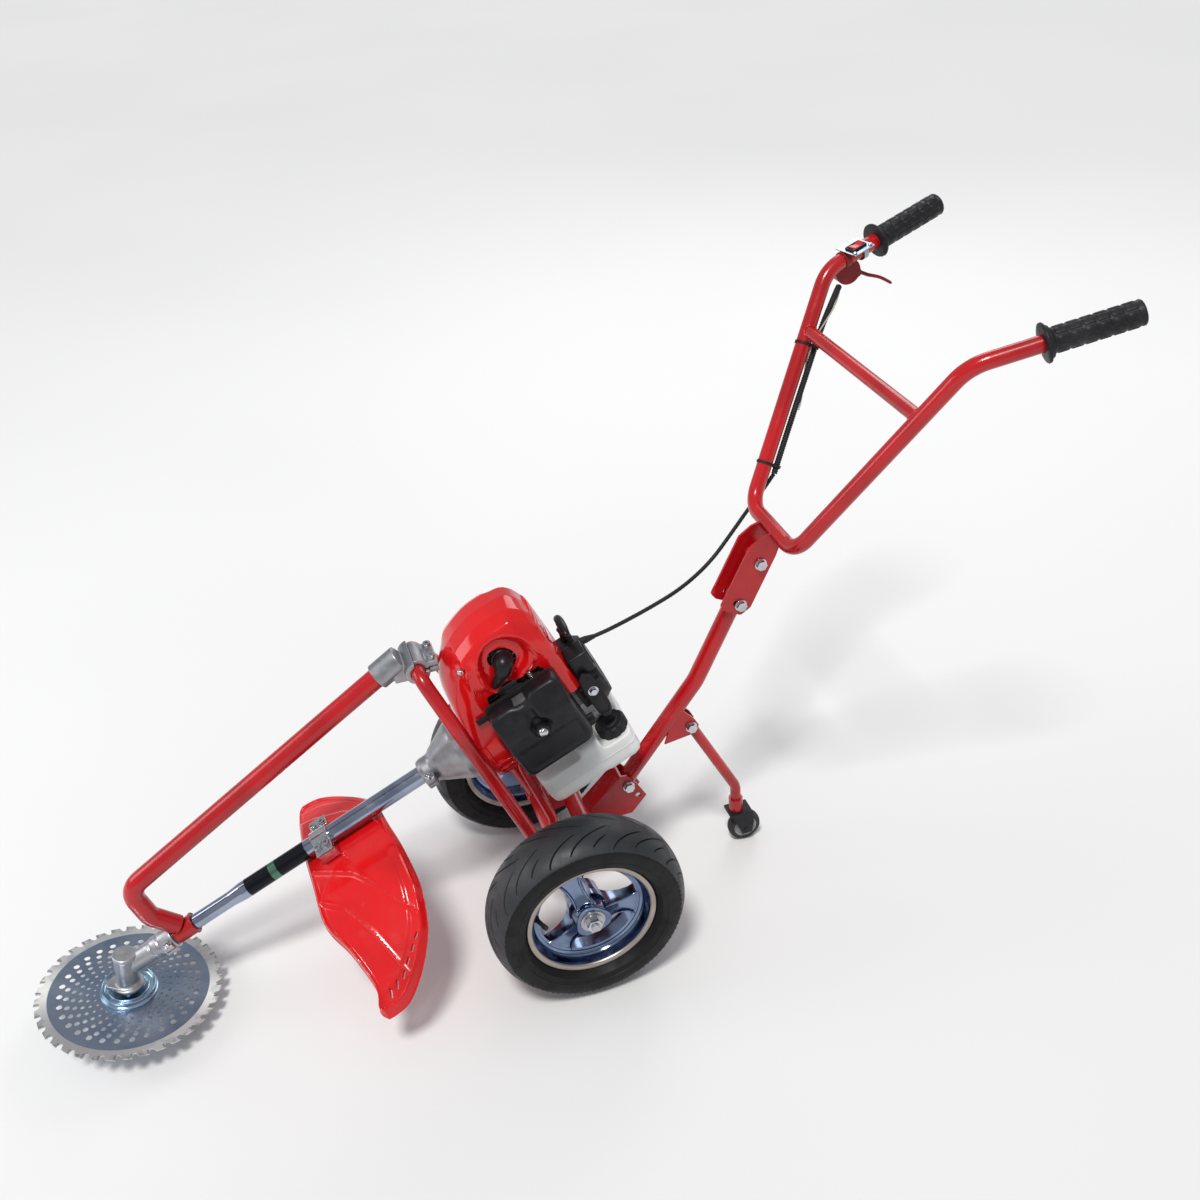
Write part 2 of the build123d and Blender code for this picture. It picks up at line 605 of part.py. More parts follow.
def blade_nut():
    return BLADE * (hexagon(17, -14, -6) + rod(11, -7.5, -6) - rod(SPINDLE_RADIUS, -20, 0))


# ---------------------------------------------------------------- guard

def guard():
    """Moulded shield under the shaft: curved across the machine, deeper on the left."""
    upper = [(-38, -148), (-22, -75), (-16, 0), (-43, 110), (-127, 225)]
    lower = [(t - 3, y) for t, y in upper]
    edge = [Spline(*upper), Line(upper[-1], lower[-1]), Spline(*reversed(lower)), Line(lower[0], upper[0])]
    shell = Pos(0, 0, -222) * extrude(make_face(edge), amount=148)
    outline = [(-130, -220), (-148, -212), (-133, -167), (-42, -95), (20, -82), (71, -75), (123, -77),
               (161, -91), (183, -108), (205, -134), (224, -166), (225, -199), (215, -209), (193, -196),
               (147, -204), (104, -221), (38, -214)]
    plan = make_face(Polyline([(-150, y, s) for y, s in outline], close=True))
    return ENGINE * ((shell & extrude(plan, amount=200, dir=(1, 0, 0))) - guard_screw_holes())


def guard_clamp():
    """Saddle over the tube and its lower half, bolted through the guard."""
    saddle = Pos(3.3, 0, GUARD_CLAMP_S) * Box(5.4, 60, 26) + Pos(0, 0, GUARD_CLAMP_S) * rod(16.5, -13, 13)
    saddle -= Pos(-49.4, 0, GUARD_CLAMP_S) * Box(100, 80, 40)
    lower = Pos(-8.2, 0, GUARD_CLAMP_S) * Box(15.2, 60, 26)
    cut = rod(TUBE_RADIUS, -200, -140) + guard_screw_holes()
    return Compound(children=[ENGINE * (half - cut) for half in (saddle, lower)])


def guard_screw_places():
    return [(y, GUARD_CLAMP_S + s) for y in (-23, 23) for s in (-7, 7)]


def guard_screw_holes():
    holes = [Pos(0, y, s) * Rot(0, 90, 0) * Cylinder(SCREW_RADIUS, 80) for y, s in guard_screw_places()]
    return holes[0] + holes[1:]


# ---------------------------------------------------------------- engine

def clutch_housing():
    """Cast cone from the tube clamp to the fan housing flange."""
    outer = [(0, -4), (19, -4), (21, 0), (21, 14), (26, 22), (44, 56), (46.2, 66), (46.6, 80), (57, 80),
             (57, FLANGE_S)]
    solid = turned(*outer, (0, FLANGE_S))
    solid += Pos(0, 24, 6) * Box(18, 12, 16)
    solid -= Pos(0, 26, 2) * Box(1.6, 34, 40)
    solid -= rod(TUBE_RADIUS, -10, TUBE_HEEL) + rod(DRIVE_RADIUS + 3, 0, 60)
    solid -= rod(DRUM_RADIUS + 0.8, DRUM_FRONT - 0.8, FLANGE_S + 1)
    return ENGINE * (solid - flange_screw_holes())


def flange_screw_places():
    angles = [radians(45 + 90 * k) for k in range(4)]
    return [(FLANGE_SCREWS * cos(a), FLANGE_SCREWS * sin(a)) for a in angles]


def flange_screw_holes():
    holes = [Pos(t, y, FLANGE_S) * Cylinder(SCREW_RADIUS, 13) for t, y in flange_screw_places()]
    return holes[0] + holes[1:]


def clutch_drum():
    solid = ring(DRUM_RADIUS, DRUM_RADIUS - 3, DRUM_FRONT, DRUM_BACK) + rod(DRUM_RADIUS, DRUM_FRONT, 63)
    return ENGINE * (solid + rod(8, DRUM_FRONT, 68) - rod(DRIVE_RADIUS, 0, DRUM_FRONT + 6))


def clutch_shoes():
    """Two weighted shoes on a common carrier on the crankshaft."""
    disc = ring(DRUM_RADIUS - 3.6, 8, DRUM_FRONT + 9, DRUM_BACK - 1)
    for side in (-1, 1):
        disc -= Pos(side * 26, 0, DRUM_FRONT + 16) * Box(28, 5, 40)
    return ENGINE * disc


def crankshaft():
    """Shaft with two crank webs, carrying the flywheel end and the starter end."""
    solid = rod(8, DRUM_FRONT + 9, 236)
    for s in (156, 174):
        solid += Pos(0, 0, s) * rod(24, 0, 10)
    return ENGINE * solid


def flywheel():
    """Cast flywheel with fan blades on its front face."""
    solid = ring(46, 8, 100, 112)
    for k in range(14):
        solid += Rot(0, 0, k * 360 / 14) * Pos(38, 0, 97) * Box(17, 2, 8)
    return ENGINE * solid


def crankcase():
    """Split case round the crank, with the cylinder deck, starter neck and feet."""
    block = Pos(-1, 0, 168) * Box(94, 76, CRANKCASE_BACK - FAN_BACK)
    solid = fillet(block.edges().filter_by(Axis.Z), 12)
    solid += rod(40, CRANKCASE_BACK, 240) + Pos(-55.5, 0, 190) * Box(16, 50, 60)
    solid -= rod(27, 150, 190) + rod(34, CRANKCASE_BACK + 2, 250) + rod(8 + RUNNING, 100, 260)
    solid -= Pos(48, 0, CYLINDER_S) * Rot(0, 90, 0) * Cylinder(20, 60)
    for side in (-1, 1):
        solid -= Pos(24, side * 38, STAY_S) * Rot(90, 0, 0) * Cylinder(SCREW_RADIUS, 24)
    return ENGINE * solid


def cylinder():
    """Finned barrel and head, with the inlet on the left and the exhaust on the right."""
    upright = Pos(0, 0, CYLINDER_S) * Rot(0, 90, 0)
    solid = upright * rod(26, 46, 138) + Pos(48, 0, CYLINDER_S) * Box(4, 62, 66)
    for k in range(9):
        solid += Pos(62 + 9 * k, 0, CYLINDER_S) * Box(2.2, 76, 84)
    solid += Pos(70, 30, CYLINDER_S) * Box(24, 24.2, 30) + Pos(70, -34, CYLINDER_S) * Box(24, 18, 34)
    solid -= upright * rod(20, 40, 126) + plug_frame() * (rod(6, -40, 60) + rod(15.5, 14, 60))
    return ENGINE * solid


def plug_frame():
    """Spark plug axis: out of the head to the left."""
    return Pos(124, 12, CYLINDER_S + 18) * Rot(-90, 0, 0)


def spark_plug():
    solid = rod(5.9, -8, 14) + hexagon(17, 14, 22) + turned((0, 22), (6.5, 22), (5, 40), (0, 40))
    return ENGINE * (plug_frame() * solid)


def plug_boot():
    """Rubber cap over the plug, with the lead's short snout pointing forward and down."""
    solid = turned((8.2, 24), (13, 24), (14, 34), (13, 46), (9, 51), (0, 52), (0, 41), (8.2, 41))
    snout = Pos(-9, 0, 47) * Box(22, 11, 9)
    return ENGINE * (plug_frame() * Rot(0, 0, 55) * (solid + snout - rod(8.2, 0, 41)))


def cylinder_cover():
    """Shroud: round fan housing at the front, tapered hood over the cylinder behind it."""
    outline = [(60, FLANGE_S), (70, FLANGE_S), (120, 100), (165, 150), (180, 182), (178, 232), (128, 254),
               (20, 250), (20, 124), (44, 122), (44, FLANGE_S)]
    room = [(67, 90), (117, 104), (161, 153), (176, 184), (174, 229), (126, 250), (8, 246), (8, 120)]
    solid = prism(outline, -54, 54) + rod(62, FLANGE_S, FAN_BACK)
    solid -= prism(room, -50.5, 50.5) + rod(58.5, 90, FAN_BACK + 1) + rod(44, 60, 100)
    solid -= rod(49, 200, 300) + plug_frame() * rod(17, 30, 70) + flange_screw_holes()
    solid -= Pos(38, 62, 182) * Box(96, 40, 64) + Pos(30, 0, 136) * Box(26, 120, 26)
    solid -= Pos(-15, 0, 120) * Box(76, 130, 9)
    return ENGINE * (solid - Pos(46, -60, 170) * Box(92, 40, 74))


def prism(outline, y_low, y_high):
    """Prism across the engine from an (up, back) outline in the engine frame."""
    face = make_face(Polyline([(t, y_low, s) for t, s in outline], close=True))
    return extrude(face, amount=y_high - y_low, dir=(0, 1, 0))


def starter_housing():
    """Recoil starter cover, with vent slots, the pulley post and the rope guide on top."""
    front, back = STARTER_FRONT, STARTER_BACK
    solid = turned((34.5, 240.2), (48, 240.2), (48, front), (STARTER_RADIUS, front), (STARTER_RADIUS, 270),
                   (44, back), (0, back), (0, back - 3.5), (41, back - 3.5), (48.5, 268), (48.5, 258),
                   (34.5, 258))
    solid += Pos(46, 0, 266) * Box(22, 30, 22) - rod(48.5, 258, 268) - rod(48, 250, 258)
    solid -= Pos(46, 0, 266) * Rot(0, 90, 0) * Cylinder(3.5, 60)
    for k in range(10):
        solid -= Rot(0, 0, 36 * k + 18) * Pos(34, 0, 280) * Box(16, 6, 20)
    return ENGINE * (solid + rod(5, 262, back))


def starter_pulley():
    """Rope pulley on the post of the starter cover."""
    bore = 5 + RUNNING
    return ENGINE * turned((bore, 263), (31, 263), (31, 265), (27, 266), (27, 272), (31, 273), (31, 275),
                           (bore, 275))


def handle_frame():
    """Rope pull direction: up the engine and a little backwards."""
    return Pos(60.5, 0, 266) * Rot(0, 70, 0)


def starter_handle():
    """T-shaped pull grip resting on the rope guide."""
    stem = turned((0, 0), (6, 0), (6, 14), (8, 20), (0, 22))
    return ENGINE * (handle_frame() * (stem + Pos(0, 0, 22) * Rot(90, 0, 0) * Cylinder(6.5, 42)))


def fuel_tank():
    """Blow-moulded tank under the crankcase; the filler neck stands in a recess at its back left."""
    t, s = (TANK_TOP + TANK_LOW) / 2, (TANK_FRONT + TANK_BACK) / 2
    shelf, half = TANK_TOP - 20, CAP_RADIUS + 6
    size = (TANK_TOP - TANK_LOW, 138, TANK_BACK - TANK_FRONT)
    outer = Pos(t, 2, s) * fillet(Box(*size).edges(), 14)
    inner = Pos(t, 2, s) * fillet(Box(*[d - 6 for d in size]).edges(), 11)
    outer -= Pos(shelf + 20, CAP_Y, CAP_S) * Box(40, 2 * half, 2 * half)
    inner -= Pos(shelf + 17, CAP_Y, CAP_S) * Box(40, 2 * half + 6, 2 * half + 6)
    neck = Pos(0, CAP_Y, CAP_S) * Rot(0, 90, 0)
    spout = neck * rod(16, shelf - 2, shelf + 12)
    mouth = neck * rod(13, shelf - 10, shelf + 20)
    return ENGINE * (outer - inner + spout - mouth)


def fuel_cap():
    shelf = TANK_TOP - 20
    cap = turned((16.2, 1), (CAP_RADIUS, 1), (CAP_RADIUS, 16), (CAP_RADIUS - 2, 18), (0, 18), (0, 12.6),
                 (16.2, 12.6))
    for k in range(12):
        cap -= Rot(0, 0, 30 * k) * Pos(CAP_RADIUS + 1.6, 0, 9) * Cylinder(3, 30)
    return ENGINE * (Pos(shelf, CAP_Y, CAP_S) * Rot(0, 90, 0) * cap)


def muffler():
    """Pressed box on the exhaust side, with an outlet at the front."""
    outer = Pos(46, -72, CYLINDER_S + 9) * fillet(Box(84, 40, 54).edges(), 8)
    inner = Pos(46, -72, CYLINDER_S + 9) * fillet(Box(80, 36, 50).edges(), 6)
    solid = outer + Pos(70, -48, CYLINDER_S) * Box(24, 9.6, 34) - inner
    return ENGINE * (solid - Pos(20, -80, 150) * Cylinder(5, 20))


def carburettor():
    """Carburettor and insulator block between the inlet and the filter case."""
    body = Pos(56, CARB_Y + 4.1, CARB_S - 3) * Box(38, 19.4, 38)
    body = fillet(body.edges().filter_by(Axis.Y), 5)
    body += Pos(30, CARB_Y + 4, CARB_S - 4) * Rot(0, 90, 0) * Cylinder(9, 14)
    dome = turned((0, 0), (8, 0), (8, 2), (6.5, 6), (3.5, 8.5), (0, 9.5))
    return ENGINE * (body + Pos(23.2, CARB_Y + 4, CARB_S - 4) * Rot(0, -90, 0) * dome)


def filter_case():
    """Back plate of the air cleaner, with the cover's post and the choke's pin."""
    s, t = FILTER_S, FILTER_T
    solid = Pos(sum(t) / 2, 64, sum(s) / 2) * Box(t[1] - t[0], 4, s[1] - s[0])
    solid = fillet(solid.edges().filter_by(Axis.Y), 10)
    solid -= Pos(56, 64, CARB_S - 3) * Rot(90, 0, 0) * Cylinder(9, 20)
    solid += Pos(38, 74, 182) * Rot(90, 0, 0) * Cylinder(4, 18)
    return ENGINE * (solid + Pos(62, 59, FILTER_S[0] + 10) * Rot(90, 0, 0) * Cylinder(3, 8))


def air_filter():
    s, t = FILTER_S, FILTER_T
    solid = Pos(sum(t) / 2, 75, sum(s) / 2) * Box(t[1] - t[0] - 16, 17, s[1] - s[0] - 16)
    return ENGINE * (solid - Pos(38, 75, 182) * Rot(90, 0, 0) * Cylinder(5, 30))


def air_cleaner_cover():
    """Moulded cover with a sloping upper face."""
    s, t = FILTER_S, FILTER_T
    outline = [(t[0], 66.2), (t[0], 100), (t[0] + 8, 106), (52, 106), (t[1], 84), (t[1], 66.2)]
    solid = extrude(make_face(Polyline([(a, b, s[0]) for a, b in outline], close=True)), amount=s[1] - s[0],
                    dir=(0, 0, 1))
    solid = fillet(solid.edges().filter_by(Axis.Y), 9)
    room = [(t[0] + 3, 60), (t[0] + 3, 98), (t[0] + 10, 103), (51, 103), (t[1] - 3, 82), (t[1] - 3, 60)]
    inside = extrude(make_face(Polyline([(a, b, s[0] + 3) for a, b in room], close=True)),
                     amount=s[1] - s[0] - 6, dir=(0, 0, 1))
    return ENGINE * (solid - inside - Pos(38, 100, 182) * Rot(90, 0, 0) * Cylinder(4.2, 30))


def cover_knob():
    """Screw that holds the air cleaner cover on the back plate's post."""
    knob = rod(4, -16.5, 7) + rod(9, 6.3, 13) - Pos(0, 0, 13) * Box(14, 2, 3)
    return ENGINE * (Pos(38, 100, 182) * Rot(-90, 0, 0) * knob)


def choke_lever():
    """Flat lever on the front edge of the filter case."""
    place = Pos(62, 58.4, FILTER_S[0] + 10)
    solid = place * Rot(90, 0, 0) * Cylinder(6, 5.6) + place * Pos(4, 0, -14) * Box(8, 3.6, 26)
    return ENGINE * (solid - place * Rot(90, 0, 0) * Cylinder(3 + RUNNING, 20))


def cap_screws():
    """Socket screws: housing flange, guard clamp, engine stays and frame clamp."""
    screws = [Pos(t, y, 80) * Rot(180, 0, 0) * cap_screw(10) for t, y in flange_screw_places()]
    screws += [Pos(6, y, s) * Rot(0, 90, 0) * cap_screw(30) for y, s in guard_screw_places()]
    for side in (-1, 1):
        screws.append(Pos(24, side * (STAY_Y + 7.2), STAY_S) * Rot(-90 * side, 0, 0) * cap_screw(24))
    screws = [ENGINE * screw for screw in screws]
    screws += [Pos(CLAMP_X - 22, y, CLAMP_Z + 9.5) * cap_screw(17) for y in (-14, 14)]
    return Compound(children=screws)


def save(name, shape):
    solids = [Pos(AXLE_X, 0, 0) * solid for solid in shape.solids()]
    export_step(Compound(children=solids), os.path.join("parts", name + ".step"))


PARTS = {
    "axle_beam": axle_beam, "axle": axle, "axle_nuts": axle_nuts, "side_frame": side_frame,
    "engine_stays": engine_stays, "front_pole": front_pole, "pole_clamp": pole_clamp,
    "clamp_cap": clamp_cap, "rear_column": rear_column, "frame_bolts": frame_bolts,
    "support_leg": support_leg, "caster_fork": caster_fork, "caster_wheel": caster_wheel,
    "tyre_left": lambda: tyre(1), "tyre_right": lambda: tyre(-1),
    "rim_left": lambda: rim(1), "rim_right": lambda: rim(-1), "wheel_bearings": wheel_bearings,
    "handlebar": handlebar, "grip_left": lambda: grip(1), "grip_right": lambda: grip(-1),
    "switch_plate": switch_plate, "rocker_switch": rocker_switch, "lever_perch": lever_perch,
    "throttle_lever": throttle_lever, "throttle_conduit": throttle_conduit,
    "throttle_cable": throttle_cable, "cable_ties": cable_ties,
    "shaft_tube": shaft_tube, "drive_shaft": drive_shaft, "gear_case": gear_case, "spindle": spindle,
    "blade": blade, "blade_holders": blade_holders, "blade_nut": blade_nut,
    "guard": guard, "guard_clamp": guard_clamp, "cap_screws": cap_screws,
    "clutch_housing": clutch_housing, "clutch_drum": clutch_drum, "clutch_shoes": clutch_shoes,
    "crankshaft": crankshaft, "flywheel": flywheel, "crankcase": crankcase, "cylinder": cylinder,
    "spark_plug": spark_plug, "plug_boot": plug_boot,
    "cylinder_cover": cylinder_cover, "starter_housing": starter_housing,
    "starter_pulley": starter_pulley, "starter_handle": starter_handle,
    "fuel_tank": fuel_tank, "fuel_cap": fuel_cap, "muffler": muffler, "carburettor": carburettor,
    "cover_knob": cover_knob, "choke_lever": choke_lever, "air_filter": air_filter,
    "air_cleaner_cover": air_cleaner_cover, "filter_case": filter_case,
}

if __name__ == "__main__":
    os.makedirs("parts", exist_ok=True)
    for part_name, make in PARTS.items():
        save(part_name, make())
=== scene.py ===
from math import cos, exp, hypot, pi, radians, sin, sqrt, tau

import bmesh
import bpy
from mathutils import Matrix, Vector


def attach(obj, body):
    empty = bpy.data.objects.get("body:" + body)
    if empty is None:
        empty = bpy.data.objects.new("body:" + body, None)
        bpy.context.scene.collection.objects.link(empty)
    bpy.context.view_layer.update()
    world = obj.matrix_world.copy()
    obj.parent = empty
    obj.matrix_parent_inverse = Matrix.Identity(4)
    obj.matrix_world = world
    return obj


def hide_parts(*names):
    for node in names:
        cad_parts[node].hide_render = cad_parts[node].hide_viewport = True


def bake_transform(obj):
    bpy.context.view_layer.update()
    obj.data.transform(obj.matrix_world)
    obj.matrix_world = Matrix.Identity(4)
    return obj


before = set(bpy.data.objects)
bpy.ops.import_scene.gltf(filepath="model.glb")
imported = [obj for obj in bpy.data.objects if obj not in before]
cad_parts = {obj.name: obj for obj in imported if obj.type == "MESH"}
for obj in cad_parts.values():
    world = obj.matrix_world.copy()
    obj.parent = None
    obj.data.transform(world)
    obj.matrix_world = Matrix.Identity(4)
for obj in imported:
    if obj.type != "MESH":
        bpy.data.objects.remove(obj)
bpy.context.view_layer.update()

# Wheeled brush cutter, +X forward to the blade, +Y its left, +Z up.
# Pieces are drawn in millimetres in a local frame, then placed in the scene in metres.
# X is measured from the wheel axle, which stands AXLE_X from the scene's origin.
AXLE_X = -11.5
AXLE_Z = 140
WHEEL_Y = 181.6
SLOPE = radians(23.7)
UP = Vector((sin(SLOPE), 0, cos(SLOPE)))
BACK = Vector((-cos(SLOPE), 0, sin(SLOPE)))
BLADE_TILT = radians(8.46)
BLADE_RADIUS = 127.5
TEETH = 36
BAR_BEND = Vector((-533, -189, 828))
BAR_LOW = Vector((-363, -72, 551))
BAR_END = Vector((-728, -237, 875))
GRIP_LENGTH = 120
CRANK_END = Vector((166, 0, 290))
PLUG_T, PLUG_S = 124, 188
HOOD_SCREW_T, HOOD_SCREW_S = 142, 134
HOOD_BACK = 251
KNOB_T, KNOB_S = 38, 182
COVER_BACK = 66.2
FILLER_Y, FILLER_S = 42, 254
GEAR_CLAMP_S = -428
GEAR_CLAMP_Y = 20.6
LEVER_PIVOT = (-583, -203, 813)
PERCH_CENTRE = (-569, -203, 817)
CASTER_CENTRE = (-309, 0, 26)
AXLE_TUBE_RADIUS = 14


# ---------------------------------------------------------------- frames

def place(origin, x_dir, z_dir):
    """Matrix from a piece's own millimetres to the scene's metres."""
    z = Vector(z_dir).normalized()
    x = Vector(x_dir)
    x = (x - z * x.dot(z)).normalized()
    turn = Matrix((x, z.cross(x), z)).transposed().to_4x4()
    shift = Matrix.Translation(Vector(origin) + Vector((AXLE_X, 0, 0)))
    return Matrix.Scale(0.001, 4) @ shift @ turn


def side_name(side):
    return "left" if side > 0 else "right"


def arm(side):
    """Low end, bend and free end of the handlebar's arm. The BAR points are the right arm's."""
    return [Vector((p.x, -side * p.y, p.z)) for p in (BAR_LOW, BAR_BEND, BAR_END)]


MACHINE = place((0, 0, 0), (1, 0, 0), (0, 0, 1))
ENGINE = place(CRANK_END, UP, BACK)
BLADE = place((632, 0, 45), (cos(BLADE_TILT), 0, sin(BLADE_TILT)), (-sin(BLADE_TILT), 0, cos(BLADE_TILT)))
BAR_ALONG = (BAR_END - BAR_BEND).normalized()
BAR_ACROSS = BAR_ALONG.cross(Vector((0, 0, 1))).normalized()
BAR = place(BAR_BEND + BAR_ALONG * 52, BAR_ACROSS.cross(BAR_ALONG), BAR_ALONG)
Z_TO_X = Matrix.Rotation(radians(90), 4, "Y")
Z_TO_Y = Matrix.Rotation(radians(-90), 4, "X")


def wheel_frame(side):
    return place((0, side * WHEEL_Y, AXLE_Z), (1, 0, 0), (0, side, 0))


def grip_frame(side):
    bend, end = arm(side)[1:]
    along = (end - bend).normalized()
    return place(end - along * 117, (0, 0, 1), along)


def shift(x, y, z):
    return Matrix.Translation((x, y, z))


# ---------------------------------------------------------------- shapes: (points, faces)

def moved(shape, matrix):
    points, faces = shape
    return [matrix @ Vector(p) for p in points], faces


def joined(*shapes):
    points, faces = [], []
    for shape_points, shape_faces in shapes:
        faces += [[i + len(points) for i in face] for face in shape_faces]
        points += list(shape_points)
    return points, faces


def loft(rings, closed=True, cap_start=True, cap_end=True, looped=False):
    """Skin over rings of equal count. looped joins the last ring to the first."""
    count = len(rings[0])
    points = [Vector(p) for ring in rings for p in ring]
    faces = []
    for k in range(len(rings) if looped else len(rings) - 1):
        a, b = k * count, (k + 1) % len(rings) * count
        for i in range(count if closed else count - 1):
            j = (i + 1) % count
            faces.append([a + i, a + j, b + j, b + i])
    if closed and not looped:
        if cap_start:
            faces.append(list(range(count))[::-1])
        if cap_end:
            faces.append([(len(rings) - 1) * count + i for i in range(count)])
    return points, faces


def rounded(points, radius, steps=4, closed=True):
    """Outline with its corners cut to arcs. radius is one number or one for each corner."""
    points = [Vector(p) for p in points]
    count = len(points)
    radii = [radius] * count if isinstance(radius, (int, float)) else radius
    out = []
    for i, p in enumerate(points):
        if not closed and i in (0, count - 1) or not radii[i]:
            out.append(p)
            continue
        a, b = points[i - 1], points[(i + 1) % count]
        reach = min(radii[i], 0.48 * (a - p).length, 0.48 * (b - p).length)
        start, end = p + (a - p).normalized() * reach, p + (b - p).normalized() * reach
        for k in range(steps + 1):
            s = k / steps
            out.append(start * (1 - s) ** 2 + p * 2 * s * (1 - s) + end * s * s)
    return out


def lathe(profile, sides=72, closed=False, wobble=None):
    """Turned about local Z from (radius, height) points.

    wobble(angle, radius, height) scales the radius.
    """
    profile = [Vector((r, z)) for r, z in profile]
    rings = []
    for k in range(sides):
        angle = tau * k / sides
        ring = []
        for r, z in profile:
            scale = wobble(angle, r, z) if wobble else 1
            ring.append(Vector((r * scale * cos(angle), r * scale * sin(angle), z)))
        rings.append(ring)
    return loft(rings, closed=closed, looped=True)


def turned(points, radius=0.8, steps=3, **options):
    """Closed turned ring or rod with softened corners."""
    outline = rounded(points, radius, steps)
    return lathe([(max(p.x, 0.0), p.y) for p in outline], closed=True, **options)


def prism(outline, low, high, edge=0.8):
    """Extruded (x, y) outline along local Z with softened rims."""
    outline = [Vector((p[0], p[1], 0)) for p in outline]
    middle = sum(outline, Vector()) / len(outline)

    def ring(inset, z):
        return [p + (middle - p).normalized() * inset + Vector((0, 0, z)) for p in outline]

    soft = edge * 0.3
    return loft([ring(edge, low), ring(soft, low + soft), ring(0, low + edge), ring(0, high - edge),
                 ring(soft, high - soft), ring(edge, high)])


def block(size, centre=(0, 0, 0), corner=2.0, edge=0.8):
    x, y, z = [s / 2 for s in size]
    outline = rounded([(x, y, 0), (-x, y, 0), (-x, -y, 0), (x, -y, 0)], corner)
    return moved(prism(outline, -z, z, edge), shift(*centre))


def hexagon(width, low, high):
    """Nut or bolt head, with its top chamfered."""
    r = width / 2 / cos(radians(30))

    def ring(scale, z):
        return [Vector((r * scale * cos(tau * k / 6), r * scale * sin(tau * k / 6), z)) for k in range(6)]

    return loft([ring(0.94, low), ring(1, low + 0.6), ring(1, high - 1.2), ring(0.9, high)])


def sweep(path, radius, sides=16):
    """Tube along a path; radius is a number or radius(share, index)."""
    path = [Vector(p) for p in path]
    ahead = (path[1] - path[0]).normalized()
    side = ahead.orthogonal().normalized()
    rings = []
    for i, p in enumerate(path):
        a, b = path[max(i - 1, 0)], path[min(i + 1, len(path) - 1)]
        turn = (b - a).normalized()
        side = (side - turn * side.dot(turn)).normalized()
        other = turn.cross(side)
        r = radius(i / (len(path) - 1), i) if callable(radius) else radius
        turns = [tau * k / sides for k in range(sides)]
        rings.append([p + (side * cos(angle) + other * sin(angle)) * r for angle in turns])
    return loft(rings)


def nurbs(points, resolution=12):
    """Points along the NURBS spline that has these control points."""
    data = bpy.data.curves.new("route", "CURVE")
    data.dimensions = "3D"
    data.resolution_u = resolution
    spline = data.splines.new("NURBS")
    spline.points.add(len(points) - 1)
    for target, p in zip(spline.points, points):
        target.co = (*p, 1)
    spline.order_u = 3
    spline.use_endpoint_u = True
    obj = bpy.data.objects.new("route", data)
    mesh = bpy.data.meshes.new_from_object(obj)
    line = [v.co.copy() for v in mesh.vertices]
    bpy.data.objects.remove(obj)
    bpy.data.curves.remove(data)
    bpy.data.meshes.remove(mesh)
    return line


def even(path, step):
    """The same path with points an even distance apart."""
    path = [Vector(p) for p in path]
    lengths = [0.0]
    for a, b in zip(path, path[1:]):
        lengths.append(lengths[-1] + (b - a).length)
    count = max(2, round(lengths[-1] / step))
    out, i = [], 0
    for k in range(count + 1):
        target = lengths[-1] * k / count
        while i < len(path) - 2 and lengths[i + 1] < target:
            i += 1
        share = (target - lengths[i]) / (lengths[i + 1] - lengths[i])
        out.append(path[i].lerp(path[i + 1], share))
    return out


def through(points, steps=8, closed=False):
    """Smooth curve through points (Catmull-Rom)."""
    points = [Vector(p) for p in points]
    count = len(points)
    out = []
    for i in range(count if closed else count - 1):
        def at(j):
            return points[j % count] if closed else points[min(max(j, 0), count - 1)]
        a, b, c, d = at(i - 1), at(i), at(i + 1), at(i + 2)
        for k in range(steps):
            s = k / steps
            out.append(0.5 * (2 * b + (c - a) * s + (2 * a - 5 * b + 4 * c - d) * s ** 2
                              + (3 * b - a - 3 * c + d) * s ** 3))
    return out if closed else out + [points[-1]]


def smooth(low, high, x):
    s = min(max((x - low) / (high - low), 0.0), 1.0)
    return s * s * (3 - 2 * s)


def eased_value(stops, x):
    """Smooth value at x from (x, value) stops."""
    for (x0, v0), (x1, v1) in zip(stops, stops[1:]):
        if x <= x1:
            return v0 + (v1 - v0) * smooth(x0, x1, x)
    return stops[-1][1]


# ---------------------------------------------------------------- pieces

def mesh_of(name, shape, matrix):
    points, faces = moved(shape, matrix)
    mesh = bpy.data.meshes.new(name)
    mesh.from_pydata([tuple(p) for p in points], [], faces)
    bm = bmesh.new()
    bm.from_mesh(mesh)
    bmesh.ops.remove_doubles(bm, verts=bm.verts, dist=1e-6)
    bmesh.ops.recalc_face_normals(bm, faces=bm.faces)
    bm.to_mesh(mesh)
    bm.free()
    return mesh


def shown(name, mesh, paint, body, replaces=(), sharp=32):
    """Object on a body with its finish, smooth up to the sharp angle."""
    obj = bpy.data.objects.new(name, mesh)
    bpy.context.scene.collection.objects.link(obj)
    for material in (paint if isinstance(paint, list) else [paint]):
        mesh.materials.append(material)
    mesh.shade_smooth()
    mesh.set_sharp_from_angle(angle=radians(sharp))
    if body:
        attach(obj, body)
    if replaces:
        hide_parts(*replaces)
    return obj


def piece(name, shape, matrix, paint, body, replaces=(), sharp=32):
    return shown(name, mesh_of(name, shape, matrix), paint, body, replaces, sharp)


def applied(mesh, modifiers):
    """New mesh after modifiers, each (type, {setting: value})."""
    obj = bpy.data.objects.new("work", mesh)
    bpy.context.scene.collection.objects.link(obj)
    for kind, settings in modifiers:
        modifier = obj.modifiers.new(kind, kind)
        for key, value in settings.items():
            setattr(modifier, key, value)
    view = bpy.context.evaluated_depsgraph_get()
    result = bpy.data.meshes.new_from_object(obj.evaluated_get(view))
    bpy.data.objects.remove(obj)
    return result


